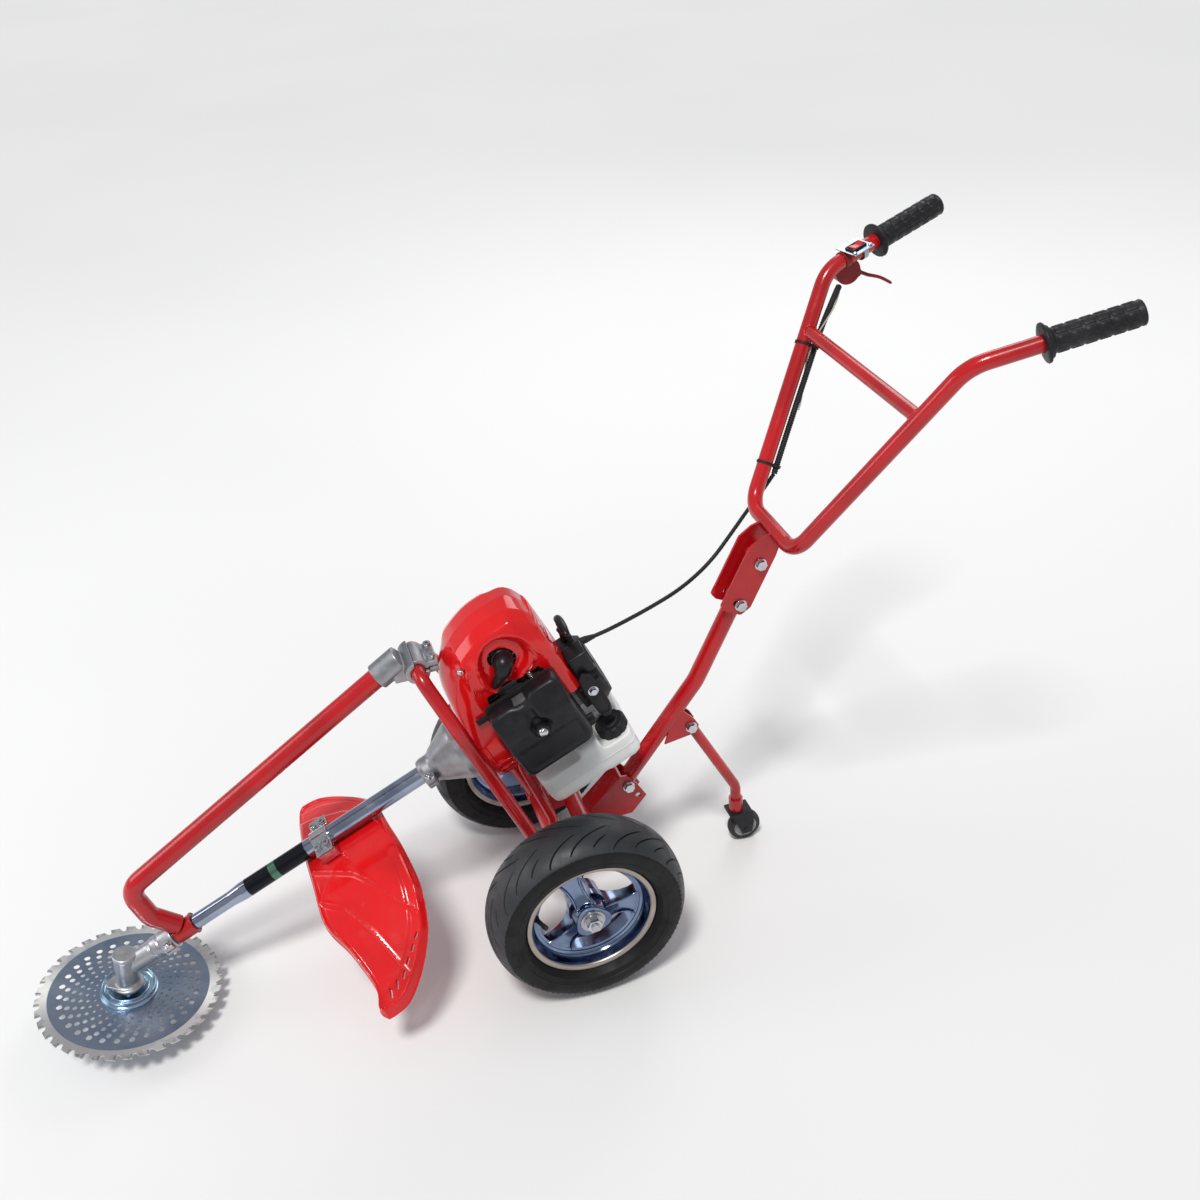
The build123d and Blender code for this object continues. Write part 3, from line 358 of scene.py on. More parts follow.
def cut(mesh, cutters):
    """Mesh minus closed cutter meshes."""
    tools = []
    for cutter in cutters:
        tool = bpy.data.objects.new("cutter", cutter)
        bpy.context.scene.collection.objects.link(tool)
        tools.append(tool)
    steps = [("BOOLEAN", {"operation": "DIFFERENCE", "solver": "EXACT", "object": t}) for t in tools]
    result = applied(mesh, steps)
    for tool in tools:
        bpy.data.objects.remove(tool)
    return result


def thickened(mesh, thickness, out, least=-1000):
    """Engine sheet with a thickness in metres, added on the side away from out, an engine direction.

    Only faces further out than least are asked which way they look.
    """
    outward, home = ENGINE.to_3x3() @ Vector(out), ENGINE.inverted()
    facing = sum(f.normal.dot(outward) * f.area for f in mesh.polygons
                 if (home @ f.center).dot(Vector(out)) > least)
    return applied(mesh, [("SOLIDIFY", {"thickness": thickness, "offset": -1 if facing > 0 else 1})])


def grid_faces(columns, rows, start=0):
    """Faces of a grid whose points run along its rows first."""
    corners = [start + i * (rows + 1) + j for i in range(columns) for j in range(rows)]
    return [[a, a + 1, a + rows + 2, a + rows + 1] for a in corners]


def cast(mesh, voxel, passes, keep=0.35):
    """Casting: edges and inner corners run together as they do out of a mould."""
    return applied(mesh, [
        ("WELD", {"merge_threshold": 1e-6}),
        ("REMESH", {"mode": "VOXEL", "voxel_size": voxel * 0.001}),
        ("SMOOTH", {"factor": 0.5, "iterations": passes}),
        ("DECIMATE", {"ratio": keep}),
    ])


def cast_node(node, paint, body, voxel=0.9, passes=5, keep=0.35):
    mesh = cast(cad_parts[node].data.copy(), voxel, passes, keep)
    mesh.materials.clear()
    return shown(node + "_casting", mesh, paint, body, [node], 50)


# ---------------------------------------------------------------- materials

class Finish:
    """Node material on one Principled shader, patterned in the object's own metres."""

    def __init__(self, name, colour, roughness, **sockets):
        self.material = bpy.data.materials.new(name)
        self.material.use_nodes = True
        self.material.diffuse_color = (*colour, 1)
        self.nodes = self.material.node_tree.nodes
        self.links = self.material.node_tree.links
        self.shader = self.nodes["Principled BSDF"]
        for socket, value in sockets.items():
            self.shader.inputs[socket.replace("_", " ")].default_value = value
        self.coords = self.node("ShaderNodeTexCoord").outputs["Object"]
        self.colour = colour
        self.rough = roughness
        self.bend = None
        self.edges = None

    def node(self, kind, inputs=(), **settings):
        node = self.nodes.new(kind)
        for key, value in settings.items():
            setattr(node, key, value)
        for socket, value in dict(inputs).items():
            self.feed(node.inputs[socket], value)
        return node

    def feed(self, socket, value):
        if isinstance(value, bpy.types.NodeSocket):
            self.links.new(value, socket)
        elif socket.type == "RGBA" and len(value) == 3:
            socket.default_value = (*value, 1)
        else:
            socket.default_value = value

    def noise(self, scale, detail=3.0, stretch=None):
        coords = self.coords
        if stretch:
            coords = self.node("ShaderNodeMapping", {"Vector": coords, "Scale": stretch}).outputs[0]
        inputs = {"Vector": coords, "Scale": scale, "Detail": detail, "Roughness": 0.55}
        return self.node("ShaderNodeTexNoise", inputs).outputs["Fac"]

    def cells(self, scale):
        inputs = {"Vector": self.coords, "Scale": scale}
        return self.node("ShaderNodeTexVoronoi", inputs).outputs["Distance"]

    def sum(self, operation, a, b=0.0):
        return self.node("ShaderNodeMath", {0: a, 1: b}, operation=operation).outputs[0]

    def times(self, a, b):
        return self.sum("MULTIPLY", a, b)

    def vector(self, operation, a, b=(0, 0, 0)):
        made = self.node("ShaderNodeVectorMath", {0: a, 1: b}, operation=operation)
        return made.outputs["Value" if operation in ("DOT_PRODUCT", "LENGTH") else "Vector"]

    def step(self, value, low, high, start=0.0, end=1.0):
        inputs = {"Value": value, "From Min": low, "From Max": high, "To Min": start, "To Max": end}
        return self.node("ShaderNodeMapRange", inputs, interpolation_type="SMOOTHSTEP").outputs["Result"]

    def tint(self, amount, colour):
        """Lays a colour over what is there, by amount."""
        mix = self.node("ShaderNodeMix", data_type="RGBA")
        self.feed(mix.inputs[0], amount)
        self.feed(mix.inputs[6], self.colour)
        self.feed(mix.inputs[7], colour)
        self.colour = mix.outputs[2]
        return self

    def polish(self, amount, roughness):
        """Changes the roughness, by amount."""
        mix = self.node("ShaderNodeMix", data_type="FLOAT")
        self.feed(mix.inputs[0], amount)
        self.feed(mix.inputs[2], self.rough)
        self.feed(mix.inputs[3], roughness)
        self.rough = mix.outputs[0]
        return self

    def soften(self, radius):
        """Rounds sharp edges in the shading and remembers where they are."""
        bevel = self.node("ShaderNodeBevel", {"Radius": radius * 0.001}, samples=6).outputs[0]
        flat = self.node("ShaderNodeNewGeometry").outputs["Normal"]
        facing = self.vector("DOT_PRODUCT", bevel, flat)
        self.edges = self.times(self.step(facing, 0.995, 0.86), self.step(self.noise(90, 4), 0.42, 0.62))
        self.bend = bevel
        return self

    def relief(self, height, depth):
        """Bump of that depth in millimetres."""
        inputs = {"Height": height, "Distance": depth * 0.001, "Strength": 1.0}
        if self.bend:
            inputs["Normal"] = self.bend
        self.bend = self.node("ShaderNodeBump", inputs).outputs[0]
        return self

    def dust(self, colour, amount=0.35):
        """Dust that lies in patches on faces that look up."""
        up = self.vector("DOT_PRODUCT", self.node("ShaderNodeNewGeometry").outputs["Normal"], (0, 0, 1))
        patches = self.times(self.step(self.noise(14, 6), 0.5, 0.75), self.step(up, 0.1, 0.9))
        patches = self.times(patches, amount)
        return self.tint(patches, colour).polish(patches, 0.75)

    def done(self):
        self.feed(self.shader.inputs["Base Color"], self.colour)
        self.feed(self.shader.inputs["Roughness"], self.rough)
        if self.bend:
            self.feed(self.shader.inputs["Normal"], self.bend)
        return self.material


def gloss_red(name, colour, deep, roughness, peel, soft):
    """Lacquer or moulded plastic in red: slow shade drift, orange peel, rubbed edges."""
    f = Finish(name, colour, roughness, Coat_Weight=0.25, Coat_Roughness=0.06, Specular_IOR_Level=0.42)
    f.soften(soft)
    f.tint(f.step(f.noise(9, 3), 0.35, 0.7), deep)
    f.polish(f.step(f.noise(35, 5), 0.5, 0.72), roughness + 0.16)
    f.tint(f.times(f.edges, 0.4), tuple(0.8 * c + 0.05 for c in deep))
    f.relief(f.noise(900, 2), peel)
    f.relief(f.noise(60, 3), peel * 3)
    return f.dust((0.40, 0.20, 0.16), 0.05).done()


def moulded(name, colour, worn, roughness, grain, grain_scale=1400, soft=0.5):
    """Textured plastic or rubber: fine grain, scuffed lighter edges, dust."""
    f = Finish(name, colour, roughness, Specular_IOR_Level=0.32)
    f.soften(soft)
    f.tint(f.step(f.noise(22, 5), 0.45, 0.75, 0.0, 0.6), worn)
    f.polish(f.step(f.noise(50, 4), 0.4, 0.7), roughness + 0.18)
    f.tint(f.times(f.edges, 0.5), tuple(min(1, 1.8 * c + 0.02) for c in worn))
    f.relief(f.cells(grain_scale), grain)
    return f.dust((0.16, 0.15, 0.135), 0.10).done()


def metal(name, colour, dark, roughness, spread, grain_scale, grain, stretch=None, soft=0.5, **sockets):
    """Bare or plated metal: cloudy tone, patchy polish, grain or brushing, brighter edges."""
    f = Finish(name, colour, roughness, Metallic=1.0, **sockets)
    f.soften(soft)
    f.tint(f.step(f.noise(30, 5), 0.42, 0.72, 0.0, 0.7), dark)
    f.polish(f.step(f.noise(70, 5), 0.35, 0.75), min(1.0, roughness + spread))
    f.tint(f.times(f.edges, 0.6), tuple(min(1, c * 1.2 + 0.05) for c in colour))
    f.relief(f.noise(grain_scale, 3, stretch), grain)
    return f.done()


def tyre_rubber():
    """Tread rubber: satin and grey where it has worn, with fine mould lines and dust."""
    f = Finish("tyre_tread_rubber", (0.019, 0.021, 0.025), 0.42, Specular_IOR_Level=0.45)
    f.soften(0.5)
    f.tint(f.step(f.noise(12, 6), 0.4, 0.75), (0.034, 0.036, 0.041))
    f.polish(f.step(f.noise(40, 5), 0.4, 0.7), 0.66)
    f.tint(f.times(f.edges, 0.5), (0.07, 0.07, 0.075))
    f.relief(f.noise(1600, 2), 0.10)
    f.relief(f.noise(220, 4), 0.16)
    return f.dust((0.16, 0.15, 0.14), 0.25).done()


def blade_steel():
    """Ground disc: brushed round its centre, matt band outside, heat blue drift and fine scratches."""
    f = Finish("blade_steel_ground", (0.34, 0.40, 0.50), 0.24, Metallic=1.0, Anisotropic=0.75)
    centre = BLADE @ Vector((0, 0, 0))
    axis = (BLADE.to_3x3() @ Vector((0, 0, 1))).normalized()
    arm = f.vector("SUBTRACT", f.coords, tuple(centre))
    radius = f.vector("LENGTH", arm)
    around = f.vector("CROSS_PRODUCT", tuple(axis), arm)
    f.feed(f.shader.inputs["Tangent"], f.vector("NORMALIZE", around))
    f.tint(f.step(f.noise(18, 4), 0.4, 0.7), (0.24, 0.31, 0.44))
    rings = f.node("ShaderNodeTexNoise", {"W": f.times(radius, 2600.0), "Scale": 1.0, "Detail": 3.0},
                   noise_dimensions="1D").outputs["Fac"]
    f.polish(f.step(rings, 0.3, 0.7), 0.30)
    band = f.step(radius, 0.1095, 0.1105)
    f.tint(band, (0.74, 0.74, 0.73)).polish(band, 0.55)
    rub = f.times(band, f.step(f.noise(60, 6), 0.5, 0.65))
    f.tint(rub, (0.58, 0.60, 0.63))
    stain = f.times(f.step(radius, 0.118, 0.128), f.step(f.noise(110, 5), 0.48, 0.6))
    f.tint(f.times(stain, 0.7), (0.24, 0.20, 0.16))
    f.relief(rings, 0.012)
    return f.relief(f.noise(500, 3), 0.02).done()


def tube_polish():
    """Drawn tube: mirror-like with faint lengthwise lines, and a plain printed label band."""
    f = Finish("shaft_tube_polished", (0.36, 0.41, 0.52), 0.12, Metallic=1.0)
    from_engine = f.vector("SUBTRACT", f.coords, tuple(ENGINE @ Vector()))
    along = f.times(f.vector("DOT_PRODUCT", from_engine, tuple(BACK)), 1000.0)
    f.tint(f.step(f.noise(20, 4), 0.4, 0.75), (0.24, 0.29, 0.40))
    f.polish(f.step(f.noise(60, 5), 0.45, 0.7), 0.22)
    label = f.times(f.step(along, -296, -295), f.step(along, -196, -197))
    edge = f.times(f.step(along, -292, -291.5), f.step(along, -199.5, -200))
    slash = f.sum("PINGPONG", f.sum("ADD", along, 250.0), 24.0)
    mark = f.times(f.times(f.step(slash, 6, 5.4), edge), f.step(along, -228, -229))
    dark = f.node("ShaderNodeTexNoise", {"Vector": f.coords, "Scale": 80.0, "Detail": 3.0}).outputs["Fac"]
    f.tint(label, (0.02, 0.021, 0.026)).polish(label, 0.32)
    f.tint(f.times(mark, f.step(dark, 0.2, 0.5, 0.6, 1.0)), (0.10, 0.22, 0.16))
    f.relief(label, 0.05)
    return f.relief(f.noise(240, 3, (1, 14, 1)), 0.006).done()


def tank_plastic():
    """Blow-moulded polyethylene: milky, lets light in, faint flow marks and a fuel shade low down."""
    f = Finish("tank_milky", (0.86, 0.87, 0.86), 0.34, Subsurface_Weight=0.35, Subsurface_Scale=0.006,
               Subsurface_Radius=(1.0, 0.95, 0.85), Specular_IOR_Level=0.5)
    f.tint(f.step(f.noise(14, 4), 0.4, 0.7), (0.78, 0.79, 0.78))
    f.polish(f.step(f.noise(60, 5), 0.4, 0.7), 0.5)
    height = f.node("ShaderNodeSeparateXYZ", {0: f.coords}).outputs["Z"]
    f.tint(f.step(height, 0.262, 0.232, 0.0, 0.35), (0.80, 0.70, 0.52))
    f.relief(f.noise(120, 4), 0.12)
    f.relief(f.noise(1500, 2), 0.03)
    return f.dust((0.62, 0.56, 0.48), 0.25).done()


def foam():
    f = Finish("filter_foam_open", (0.06, 0.06, 0.065), 0.9)
    f.tint(f.step(f.noise(40, 4), 0.4, 0.7), (0.13, 0.125, 0.12))
    f.relief(f.cells(900), 0.5)
    return f.relief(f.cells(2200), 0.2).done()


red_paint = gloss_red("frame_powder_coat", (0.52, 0.006, 0.010), (0.36, 0.004, 0.007), 0.22, 0.025, 0.6)
red_plastic = gloss_red("hood_plastic_red", (0.70, 0.006, 0.008), (0.54, 0.004, 0.006), 0.14, 0.010, 0.5)
guard_plastic = gloss_red("guard_plastic_red", (0.72, 0.006, 0.009), (0.54, 0.004, 0.006), 0.16, 0.014,
                          0.5)
weld_bead = gloss_red("weld_under_coat", (0.54, 0.010, 0.014), (0.38, 0.006, 0.010), 0.28, 0.10, 0.3)
black_plastic = moulded("black_plastic_satin", (0.008, 0.008, 0.010), (0.018, 0.018, 0.020), 0.30, 0.05)
black_matt = moulded("black_plastic_matt", (0.011, 0.011, 0.013), (0.024, 0.024, 0.027), 0.50, 0.09, 1100)
black_rubber = moulded("grip_rubber", (0.010, 0.010, 0.012), (0.028, 0.028, 0.031), 0.44, 0.07, 1700)
side_rubber = moulded("tyre_sidewall_rubber", (0.004, 0.004, 0.005), (0.008, 0.008, 0.009), 0.55, 0.06,
                      1300)
caster_rubber = moulded("caster_tyre_rubber", (0.028, 0.028, 0.030), (0.07, 0.068, 0.066), 0.6, 0.08)
grey_plastic = moulded("caster_hub_grey", (0.30, 0.30, 0.31), (0.42, 0.42, 0.42), 0.42, 0.05)
lever_plastic = moulded("lever_dark_red", (0.20, 0.006, 0.009), (0.28, 0.010, 0.013), 0.34, 0.04)
pale_wire = moulded("stop_lead_pale", (0.48, 0.44, 0.34), (0.60, 0.56, 0.46), 0.45, 0.02)
cast_metal = metal("cast_aluminium_satin", (0.40, 0.40, 0.42), (0.26, 0.26, 0.28), 0.34, 0.22, 900, 0.10)
bead_cast = metal("gear_head_bead_blasted", (0.52, 0.52, 0.54), (0.40, 0.40, 0.42), 0.36, 0.16, 1500,
                  0.05)
rough_cast = metal("engine_casting", (0.34, 0.34, 0.345), (0.20, 0.195, 0.19), 0.48, 0.25, 500, 0.22)
rim_polish = metal("rim_polished", (0.22, 0.28, 0.42), (0.11, 0.15, 0.26), 0.10, 0.12, 260, 0.012,
                   (1, 1, 12))
rim_lip = metal("rim_lip_satin", (0.44, 0.39, 0.35), (0.32, 0.28, 0.25), 0.34, 0.18, 700, 0.03)
steel = metal("machined_steel", (0.52, 0.52, 0.53), (0.40, 0.39, 0.38), 0.24, 0.20, 300, 0.02, (1, 12, 1))
chrome = metal("bright_plating", (0.62, 0.63, 0.66), (0.42, 0.43, 0.46), 0.08, 0.22, 500, 0.01)
zinc = metal("zinc_plating", (0.36, 0.41, 0.48), (0.22, 0.27, 0.34), 0.20, 0.20, 500, 0.01)
dark_steel = metal("heat_dark_steel", (0.16, 0.15, 0.145), (0.22, 0.13, 0.07), 0.52, 0.25, 400, 0.15)
blue_plate = metal("pale_blue_plating", (0.46, 0.60, 0.72), (0.30, 0.45, 0.60), 0.16, 0.14, 500, 0.012)
carbide = metal("carbide_tip", (0.42, 0.42, 0.43), (0.28, 0.26, 0.24), 0.38, 0.2, 900, 0.03)
ceramic = moulded("plug_ceramic_white", (0.85, 0.84, 0.80), (0.74, 0.72, 0.67), 0.16, 0.01)
rocker_red = gloss_red("rocker_red", (0.66, 0.012, 0.010), (0.50, 0.008, 0.008), 0.26, 0.01, 0.3)
tyre_tread = tyre_rubber()
disc_steel = blade_steel()
polished_tube = tube_polish()
milky = tank_plastic()
open_foam = foam()

CARRIED_OVER = [
    (red_paint, ["axle_beam", "side_frame", "engine_stays", "front_pole", "rear_column", "support_leg",
                 "handlebar"]),
    (cast_metal, ["carburettor", "flywheel"]),
    (rough_cast, ["cylinder", "crankcase"]),
    (steel, ["axle", "wheel_bearings", "drive_shaft", "spindle", "crankshaft"]),
    (chrome, ["axle_nuts", "frame_bolts", "cap_screws", "guard_clamp", "blade_nut"]),
    (zinc, ["switch_plate"]),
    (black_plastic, ["cover_knob"]),
    (dark_steel, ["muffler", "clutch_drum", "clutch_shoes"]),
    (black_matt, ["filter_case", "cable_ties", "starter_pulley", "choke_lever", "starter_housing",
                  "caster_fork"]),
    (disc_steel, ["blade"]),
    (polished_tube, ["shaft_tube"]),
    (open_foam, ["air_filter"]),
    (ceramic, ["spark_plug"]),
]


def finish_carried_over():
    for material, names in CARRIED_OVER:
        for name in names:
            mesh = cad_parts[name].data
            mesh.materials.clear()
            mesh.materials.append(material)


# ---------------------------------------------------------------- wheels

TREAD_PITCHES = 27
TREAD_EDGE = 41.0
SIPE_SWEEP = radians(30)


def tread_radius(z):
    return 140 - 0.0055 * z * z - 2.0e-6 * z ** 4


def sipe_turn(share):
    """Angle that a sipe has swept at this share of the way from crown (0) to shoulder (1)."""
    return SIPE_SWEEP * (1 - share) ** 1.7


def sipe_depth(share, number):
    """Long, short and middling sipes take turns."""
    start, end = ((0.08, 0.84), (0.46, 0.80), (0.20, 0.94))[number % 3]
    return 3.4 * smooth(start, start + 0.05, share) * (1 - smooth(end - 0.05, end, share))


def tyre(side):
    """Road tread with swept sipes, ribbed sidewalls and the hollow inside."""
    rows = []
    for k in range(-16, 17):
        z = TREAD_EDGE * k / 16
        rows.append((tread_radius(z), z, abs(k) / 16, k))
    wall = [(123.6, 41.9), (121, 42.9), (117, 43.7), (112, 44), (109, 43.8), (108.2, 44.4), (106.8, 44.4),
            (106, 43.3), (101, 41.2), (99.6, 40.9), (98.8, 40.9), (97, 38.0), (94.4, 32.5), (93.4, 29.5),
            (92.7, 27.9), (88, 27), (84.4, 25.8), (84.3, 19.5), (92, 22), (104, 35), (118, 38), (128, 28)]
    profile = [(r, -z, None, -1) for r, z in wall[::-1]] + rows + [(r, z, None, 1) for r, z in wall]
    profile.append((131, 0, None, 1))
    rings = []
    for pitch in range(TREAD_PITCHES):
        for column in range(8):
            ring = []
            for r, z, share, k in profile:
                place_share = 1.0 if share is None else share
                slope = 1.7 * SIPE_SWEEP * (1 - place_share) ** 0.7 * 140 / TREAD_EDGE
                half = radians(0.50) * sqrt(1 + min(slope, 2.2) ** 2)
                rest = tau / TREAD_PITCHES - 2 * half
                stops = (-half, -0.45 * half, 0.45 * half, half)
                offset = stops[column] if column < 4 else half + rest * (column - 3) / 5
                number = pitch + (0 if k >= 0 else 1)
                depth = sipe_depth(share, number) if share is not None and column in (1, 2) else 0
                angle = tau * pitch / TREAD_PITCHES + offset + sipe_turn(place_share)
                angle *= -side
                ring.append(((r - depth) * cos(angle), (r - depth) * sin(angle), z))
            rings.append(ring)
    shape = joined(loft(rings, looped=True), shoulder_pins())
    name = side_name(side)
    mesh = mesh_of("tyre_%s_tread" % name, shape, wheel_frame(side))
    shown("tyre_%s_tread" % name, mesh, [tyre_tread, side_rubber], "wheel_" + name, ["tyre_" + name],
          28)
    centre = wheel_frame(side) @ Vector((0, 0, 0))
    for face in mesh.polygons:
        across = abs(face.center.y - centre.y)
        radius = hypot(face.center.x - centre.x, face.center.z - centre.z)
        face.material_index = 0 if radius > 0.1245 and across < 0.0416 else 1


def shoulder_pins():
    """Short moulded ticks where the tread meets each sidewall."""
    pins = []
    for k in range(90):
        for z in (-41.6, 41.6):
            tick = block((1.6, 0.9, 1.5), (125.0, 0, z), corner=0.3, edge=0.25)
            pins.append(moved(tick, Matrix.Rotation(tau * k / 90, 4, "Z")))
    return joined(*pins)


def rim(side):
    """Polished dish with a satin lip, three channelled spokes, a lobed hub boss and a valve."""
    name = side_name(side)
    near = [(92, 28), (92.2, 30.2), (91.4, 31), (86.0, 31), (84.8, 30.2), (83.9, 28.4), (82.3, 24),
            (80.6, 18.5), (78.6, 14.6), (75.0, 11.4), (70.4, 9.8)]
    skin = [(74, 12.4), (78.5, 14.2), (83.2, 19), (84.4, 25.8)]
    profile = ([(r, z) for r, z in near] + [(70.4, 0)] + [(r, -z) for r, z in near[::-1]]
               + [(r, -z) for r, z in skin[::-1]] + skin)
    shape = lathe(profile, 128, closed=True)
    obj = piece("rim_%s_barrel" % name, shape, wheel_frame(side), [rim_polish, rim_lip], "wheel_" + name,
                ["rim_" + name], 40)
    axis_y = side * WHEEL_Y * 0.001
    for face in obj.data.polygons:
        lip = hypot(face.center.x - AXLE_X * 0.001, face.center.z - AXLE_Z * 0.001) > 0.0843
        face.material_index = 1 if lip and abs(face.center.y - axis_y) > 0.027 else 0
    parts = [moved(spoke(), Matrix.Rotation(radians(50 + 120 * k), 4, "Z")) for k in range(3)]
    hub = [(17.55, -27.6), (24, -27.6), (25, -12), (27, -2), (27, 8), (24, 15), (23, 26), (24.5, 29),
           (24.5, 33.4), (21.5, 33.6), (17.55, 33.6), (17.55, 22.6), (12, 22.6), (12, -16.6),
           (17.55, -16.6)]

    def lobes(angle, r, z):
        lobed = z > 27 and r > 20
        return 1 + (0.09 * cos(3 * (angle - radians(50))) if lobed else 0)

    parts.append(turned(hub, 1.0, 2, sides=96, wobble=lobes))
    mesh = mesh_of("rim_%s_spokes" % name, joined(*parts), wheel_frame(side))
    shown("rim_%s_spokes" % name, mesh, rim_polish, "wheel_" + name, sharp=30)
    stem = [(0, 0), (5.2, 0), (5.2, 2), (3.4, 5), (3.0, 16), (3.6, 16.5), (3.6, 24), (0, 24)]
    lean = Matrix.Rotation(radians(-24), 4, "Y")
    seat = Matrix.Rotation(radians(350), 4, "Z") @ shift(75.5, 0, 11.6) @ lean
    stem = moved(turned(stem, 0.6, 2, sides=20), seat)
    piece("rim_%s_valve" % name, stem, wheel_frame(side), black_rubber, "wheel_" + name)


def spoke():
    """Channel-section spoke, narrow by the hub and flared into the well."""
    wall = 3.4
    stations = [(20, 14.5, -9, 24, 1.0), (27, 12.5, -7, 20.5, 2.5), (38, 11.5, -5.5, 16.5, 4.0),
                (50, 12.5, -5, 13.6, 4.4), (61, 15.5, -5, 11.8, 3.6), (68, 19.5, -5.5, 11.0, 2.4),
                (73, 25, -6.5, 11.2, 0.8), (76, 30, -8, 12.2, 0.2)]
    rings = []
    for r, half, low, high, sink in stations:
        section = [(-half - 1.5, low), (-half, high - 1.2), (-half + 1.2, high),
                   (-half + wall - 0.8, high), (-half + wall + 0.6, high - sink),
                   (half - wall - 0.6, high - sink), (half - wall + 0.8, high), (half - 1.2, high),
                   (half, high - 1.2), (half + 1.5, low)]
        rings.append([(r, x, z) for x, z in section])
    return loft(rings)


# ---------------------------------------------------------------- blade and gear head

def blade_tips():
    """Carbide tip brazed to the leading face of each tooth."""
    tips = []
    for k in range(TEETH):
        tip = block((7.4, 2.6, 2.3), (BLADE_RADIUS - 3.9, -0.9, 0), corner=0.5, edge=0.3)
        tips.append(moved(tip, Matrix.Rotation(tau * k / TEETH, 4, "Z")))
    piece("blade_tips", joined(*tips), BLADE, carbide, "blade_rotor")


def blade_holders():
    """Plated dish with two raised rims above the blade, and the lower clamping cup."""
    dish = [(5.05, -0.6), (12.7, -0.6), (12.7, 0.8), (39.4, 0.8), (40, 1.4), (40, 3.0), (39.2, 3.9),
            (37.8, 4.1), (37.2, 5.2), (37.6, 9.6), (37.2, 10.8), (36.2, 11), (35.2, 10.8), (34.8, 9.8),
            (34.2, 6.8), (32.6, 5.4), (29.4, 4.9), (28.6, 6.6), (27.6, 7.2), (26.4, 7.2), (25.6, 6.4),
            (24.8, 4.4), (22, 3.8), (15, 3.8), (13.4, 5.0), (13, 9.9), (12.4, 10.5), (5.05, 10.5)]
    piece("blade_holder_dish", turned(dish, 0.5, 2, sides=96), BLADE, blue_plate, "blade_rotor",
          ["blade_holders"])
    cup = [(5.05, -0.8), (26.4, -0.8), (27, -1.4), (27, -3.2), (25, -4.0), (21, -5.7), (16, -6),
           (5.05, -6)]
    piece("blade_holder_cup", turned(cup, 0.5, 2, sides=72), BLADE, chrome, "blade_rotor")


def gear_head():
    """Blasted casting run together from barrel, neck and foot, with its turned cap and clamp collar."""
    to_engine = BLADE.inverted() @ ENGINE
    barrel = turned([(0, 13.0), (20.5, 12.2), (22, 13.4), (22, 14.8), (17, 18.6), (15.8, 22),
                     (15.5, 63.6), (0, 63.6)], 1.2, 3, sides=64)
    neck = moved(turned([(0, -500), (13.6, -498), (14.3, -480), (14.5, -456), (0, -456)], 1, 2, sides=64),
                 to_engine)
    web = moved(block((10, 15, 42), (-13, 0, -476), corner=3, edge=2), to_engine)
    wedge_outline = rounded([(-8, 20, 0), (-26, 15, 0), (-29, 4, 0), (-12, -16, 0), (2, -20, 0),
                             (4, 18, 0)], 3)
    lug = moved(prism(wedge_outline, 12.4, 18.4, 1.2), Matrix.Rotation(radians(200), 4, "Z"))
    mesh = cast(mesh_of("head", joined(barrel, neck, web, lug), BLADE), 0.7, 6, 0.4)
    bore_profile = [(0, 5), (7, 5), (7, 24.5), (12.8, 24.5), (12.8, 60), (0, 60)]
    bore = mesh_of("bore", turned(bore_profile, 0.3, 1, sides=40), BLADE)
    drive = mesh_of("drive", turned([(0, -497), (9.6, -497), (9.6, -440), (0, -440)], 0.3, 1, sides=40),
                    ENGINE)
    mesh = cut(mesh, [bore, drive])
    shown("gear_case_casting", mesh, bead_cast, "frame", ["gear_case"], 50)
    cap = [(0, 62), (15.6, 62), (16.2, 62.6), (16.4, 65.2), (15.7, 65.9), (15.7, 66.7), (16.5, 67.2),
           (16.5, 69.1), (15.4, 70), (0, 70.3)]
    piece("gear_case_cap", turned(cap, 0.35, 2, sides=72), BLADE, bead_cast, "frame")
    rings = [(11.05, -457), (14.6, -457), (14.9, -455.4), (14.4, -453.8), (15.6, -452.4), (16.3, -451),
             (16.3, -442), (15.5, -440.6), (15.5, -439.4), (17.2, -438.4), (17.6, -437.4), (17.6, -419.6),
             (16.8, -418.4), (11.05, -418.4)]
    piece("gear_case_collar", turned(rings, 0.5, 2, sides=72), ENGINE, bead_cast, "frame")
    ear = block((14.5, 10.5, 15), (0, GEAR_CLAMP_Y - 1, GEAR_CLAMP_S), corner=2.5, edge=1.6)
    slit = block((1.5, 8, 16), (0, 22.6, -427.6), corner=0.2, edge=0.1)
    ears = cut(cast(mesh_of("ear", ear, ENGINE), 0.6, 3, 0.5), [mesh_of("slit", slit, ENGINE)])
    shown("gear_case_clamp_ear", ears, bead_cast, "frame", sharp=50)
    head = [(0, 6.6), (4.2, 6.6), (4.6, 7.2), (4.6, 11.2), (4.0, 12), (2.4, 12), (2.4, 9), (0, 9)]
    stem = [(0, -11), (2.5, -11), (2.5, 8), (0, 8)]
    bolt = joined(turned(head, 0.3, 1, sides=32), turned(stem, 0.3, 1, sides=20))
    bolt = moved(bolt, shift(0, GEAR_CLAMP_Y, GEAR_CLAMP_S) @ Z_TO_X)
    piece("gear_case_clamp_screw", bolt, ENGINE, chrome, "frame")


# ---------------------------------------------------------------- guard

GUARD_CROWN = [(-150, -38.5), (-75, -22), (0, -16), (60, -25), (110, -43), (170, -81), (227, -128)]
GUARD_FRONT = [(-148, -212), (-128, -219), (-60, -217), (38, -214), (104, -219), (147, -204), (193, -196),
               (214, -206), (225, -199)]
GUARD_BACK = [(-148, -212), (-141, -180), (-100, -137), (-42, -95), (20, -82), (71, -75), (123, -77),
              (161, -91), (183, -108), (205, -134), (222, -166), (225, -199)]
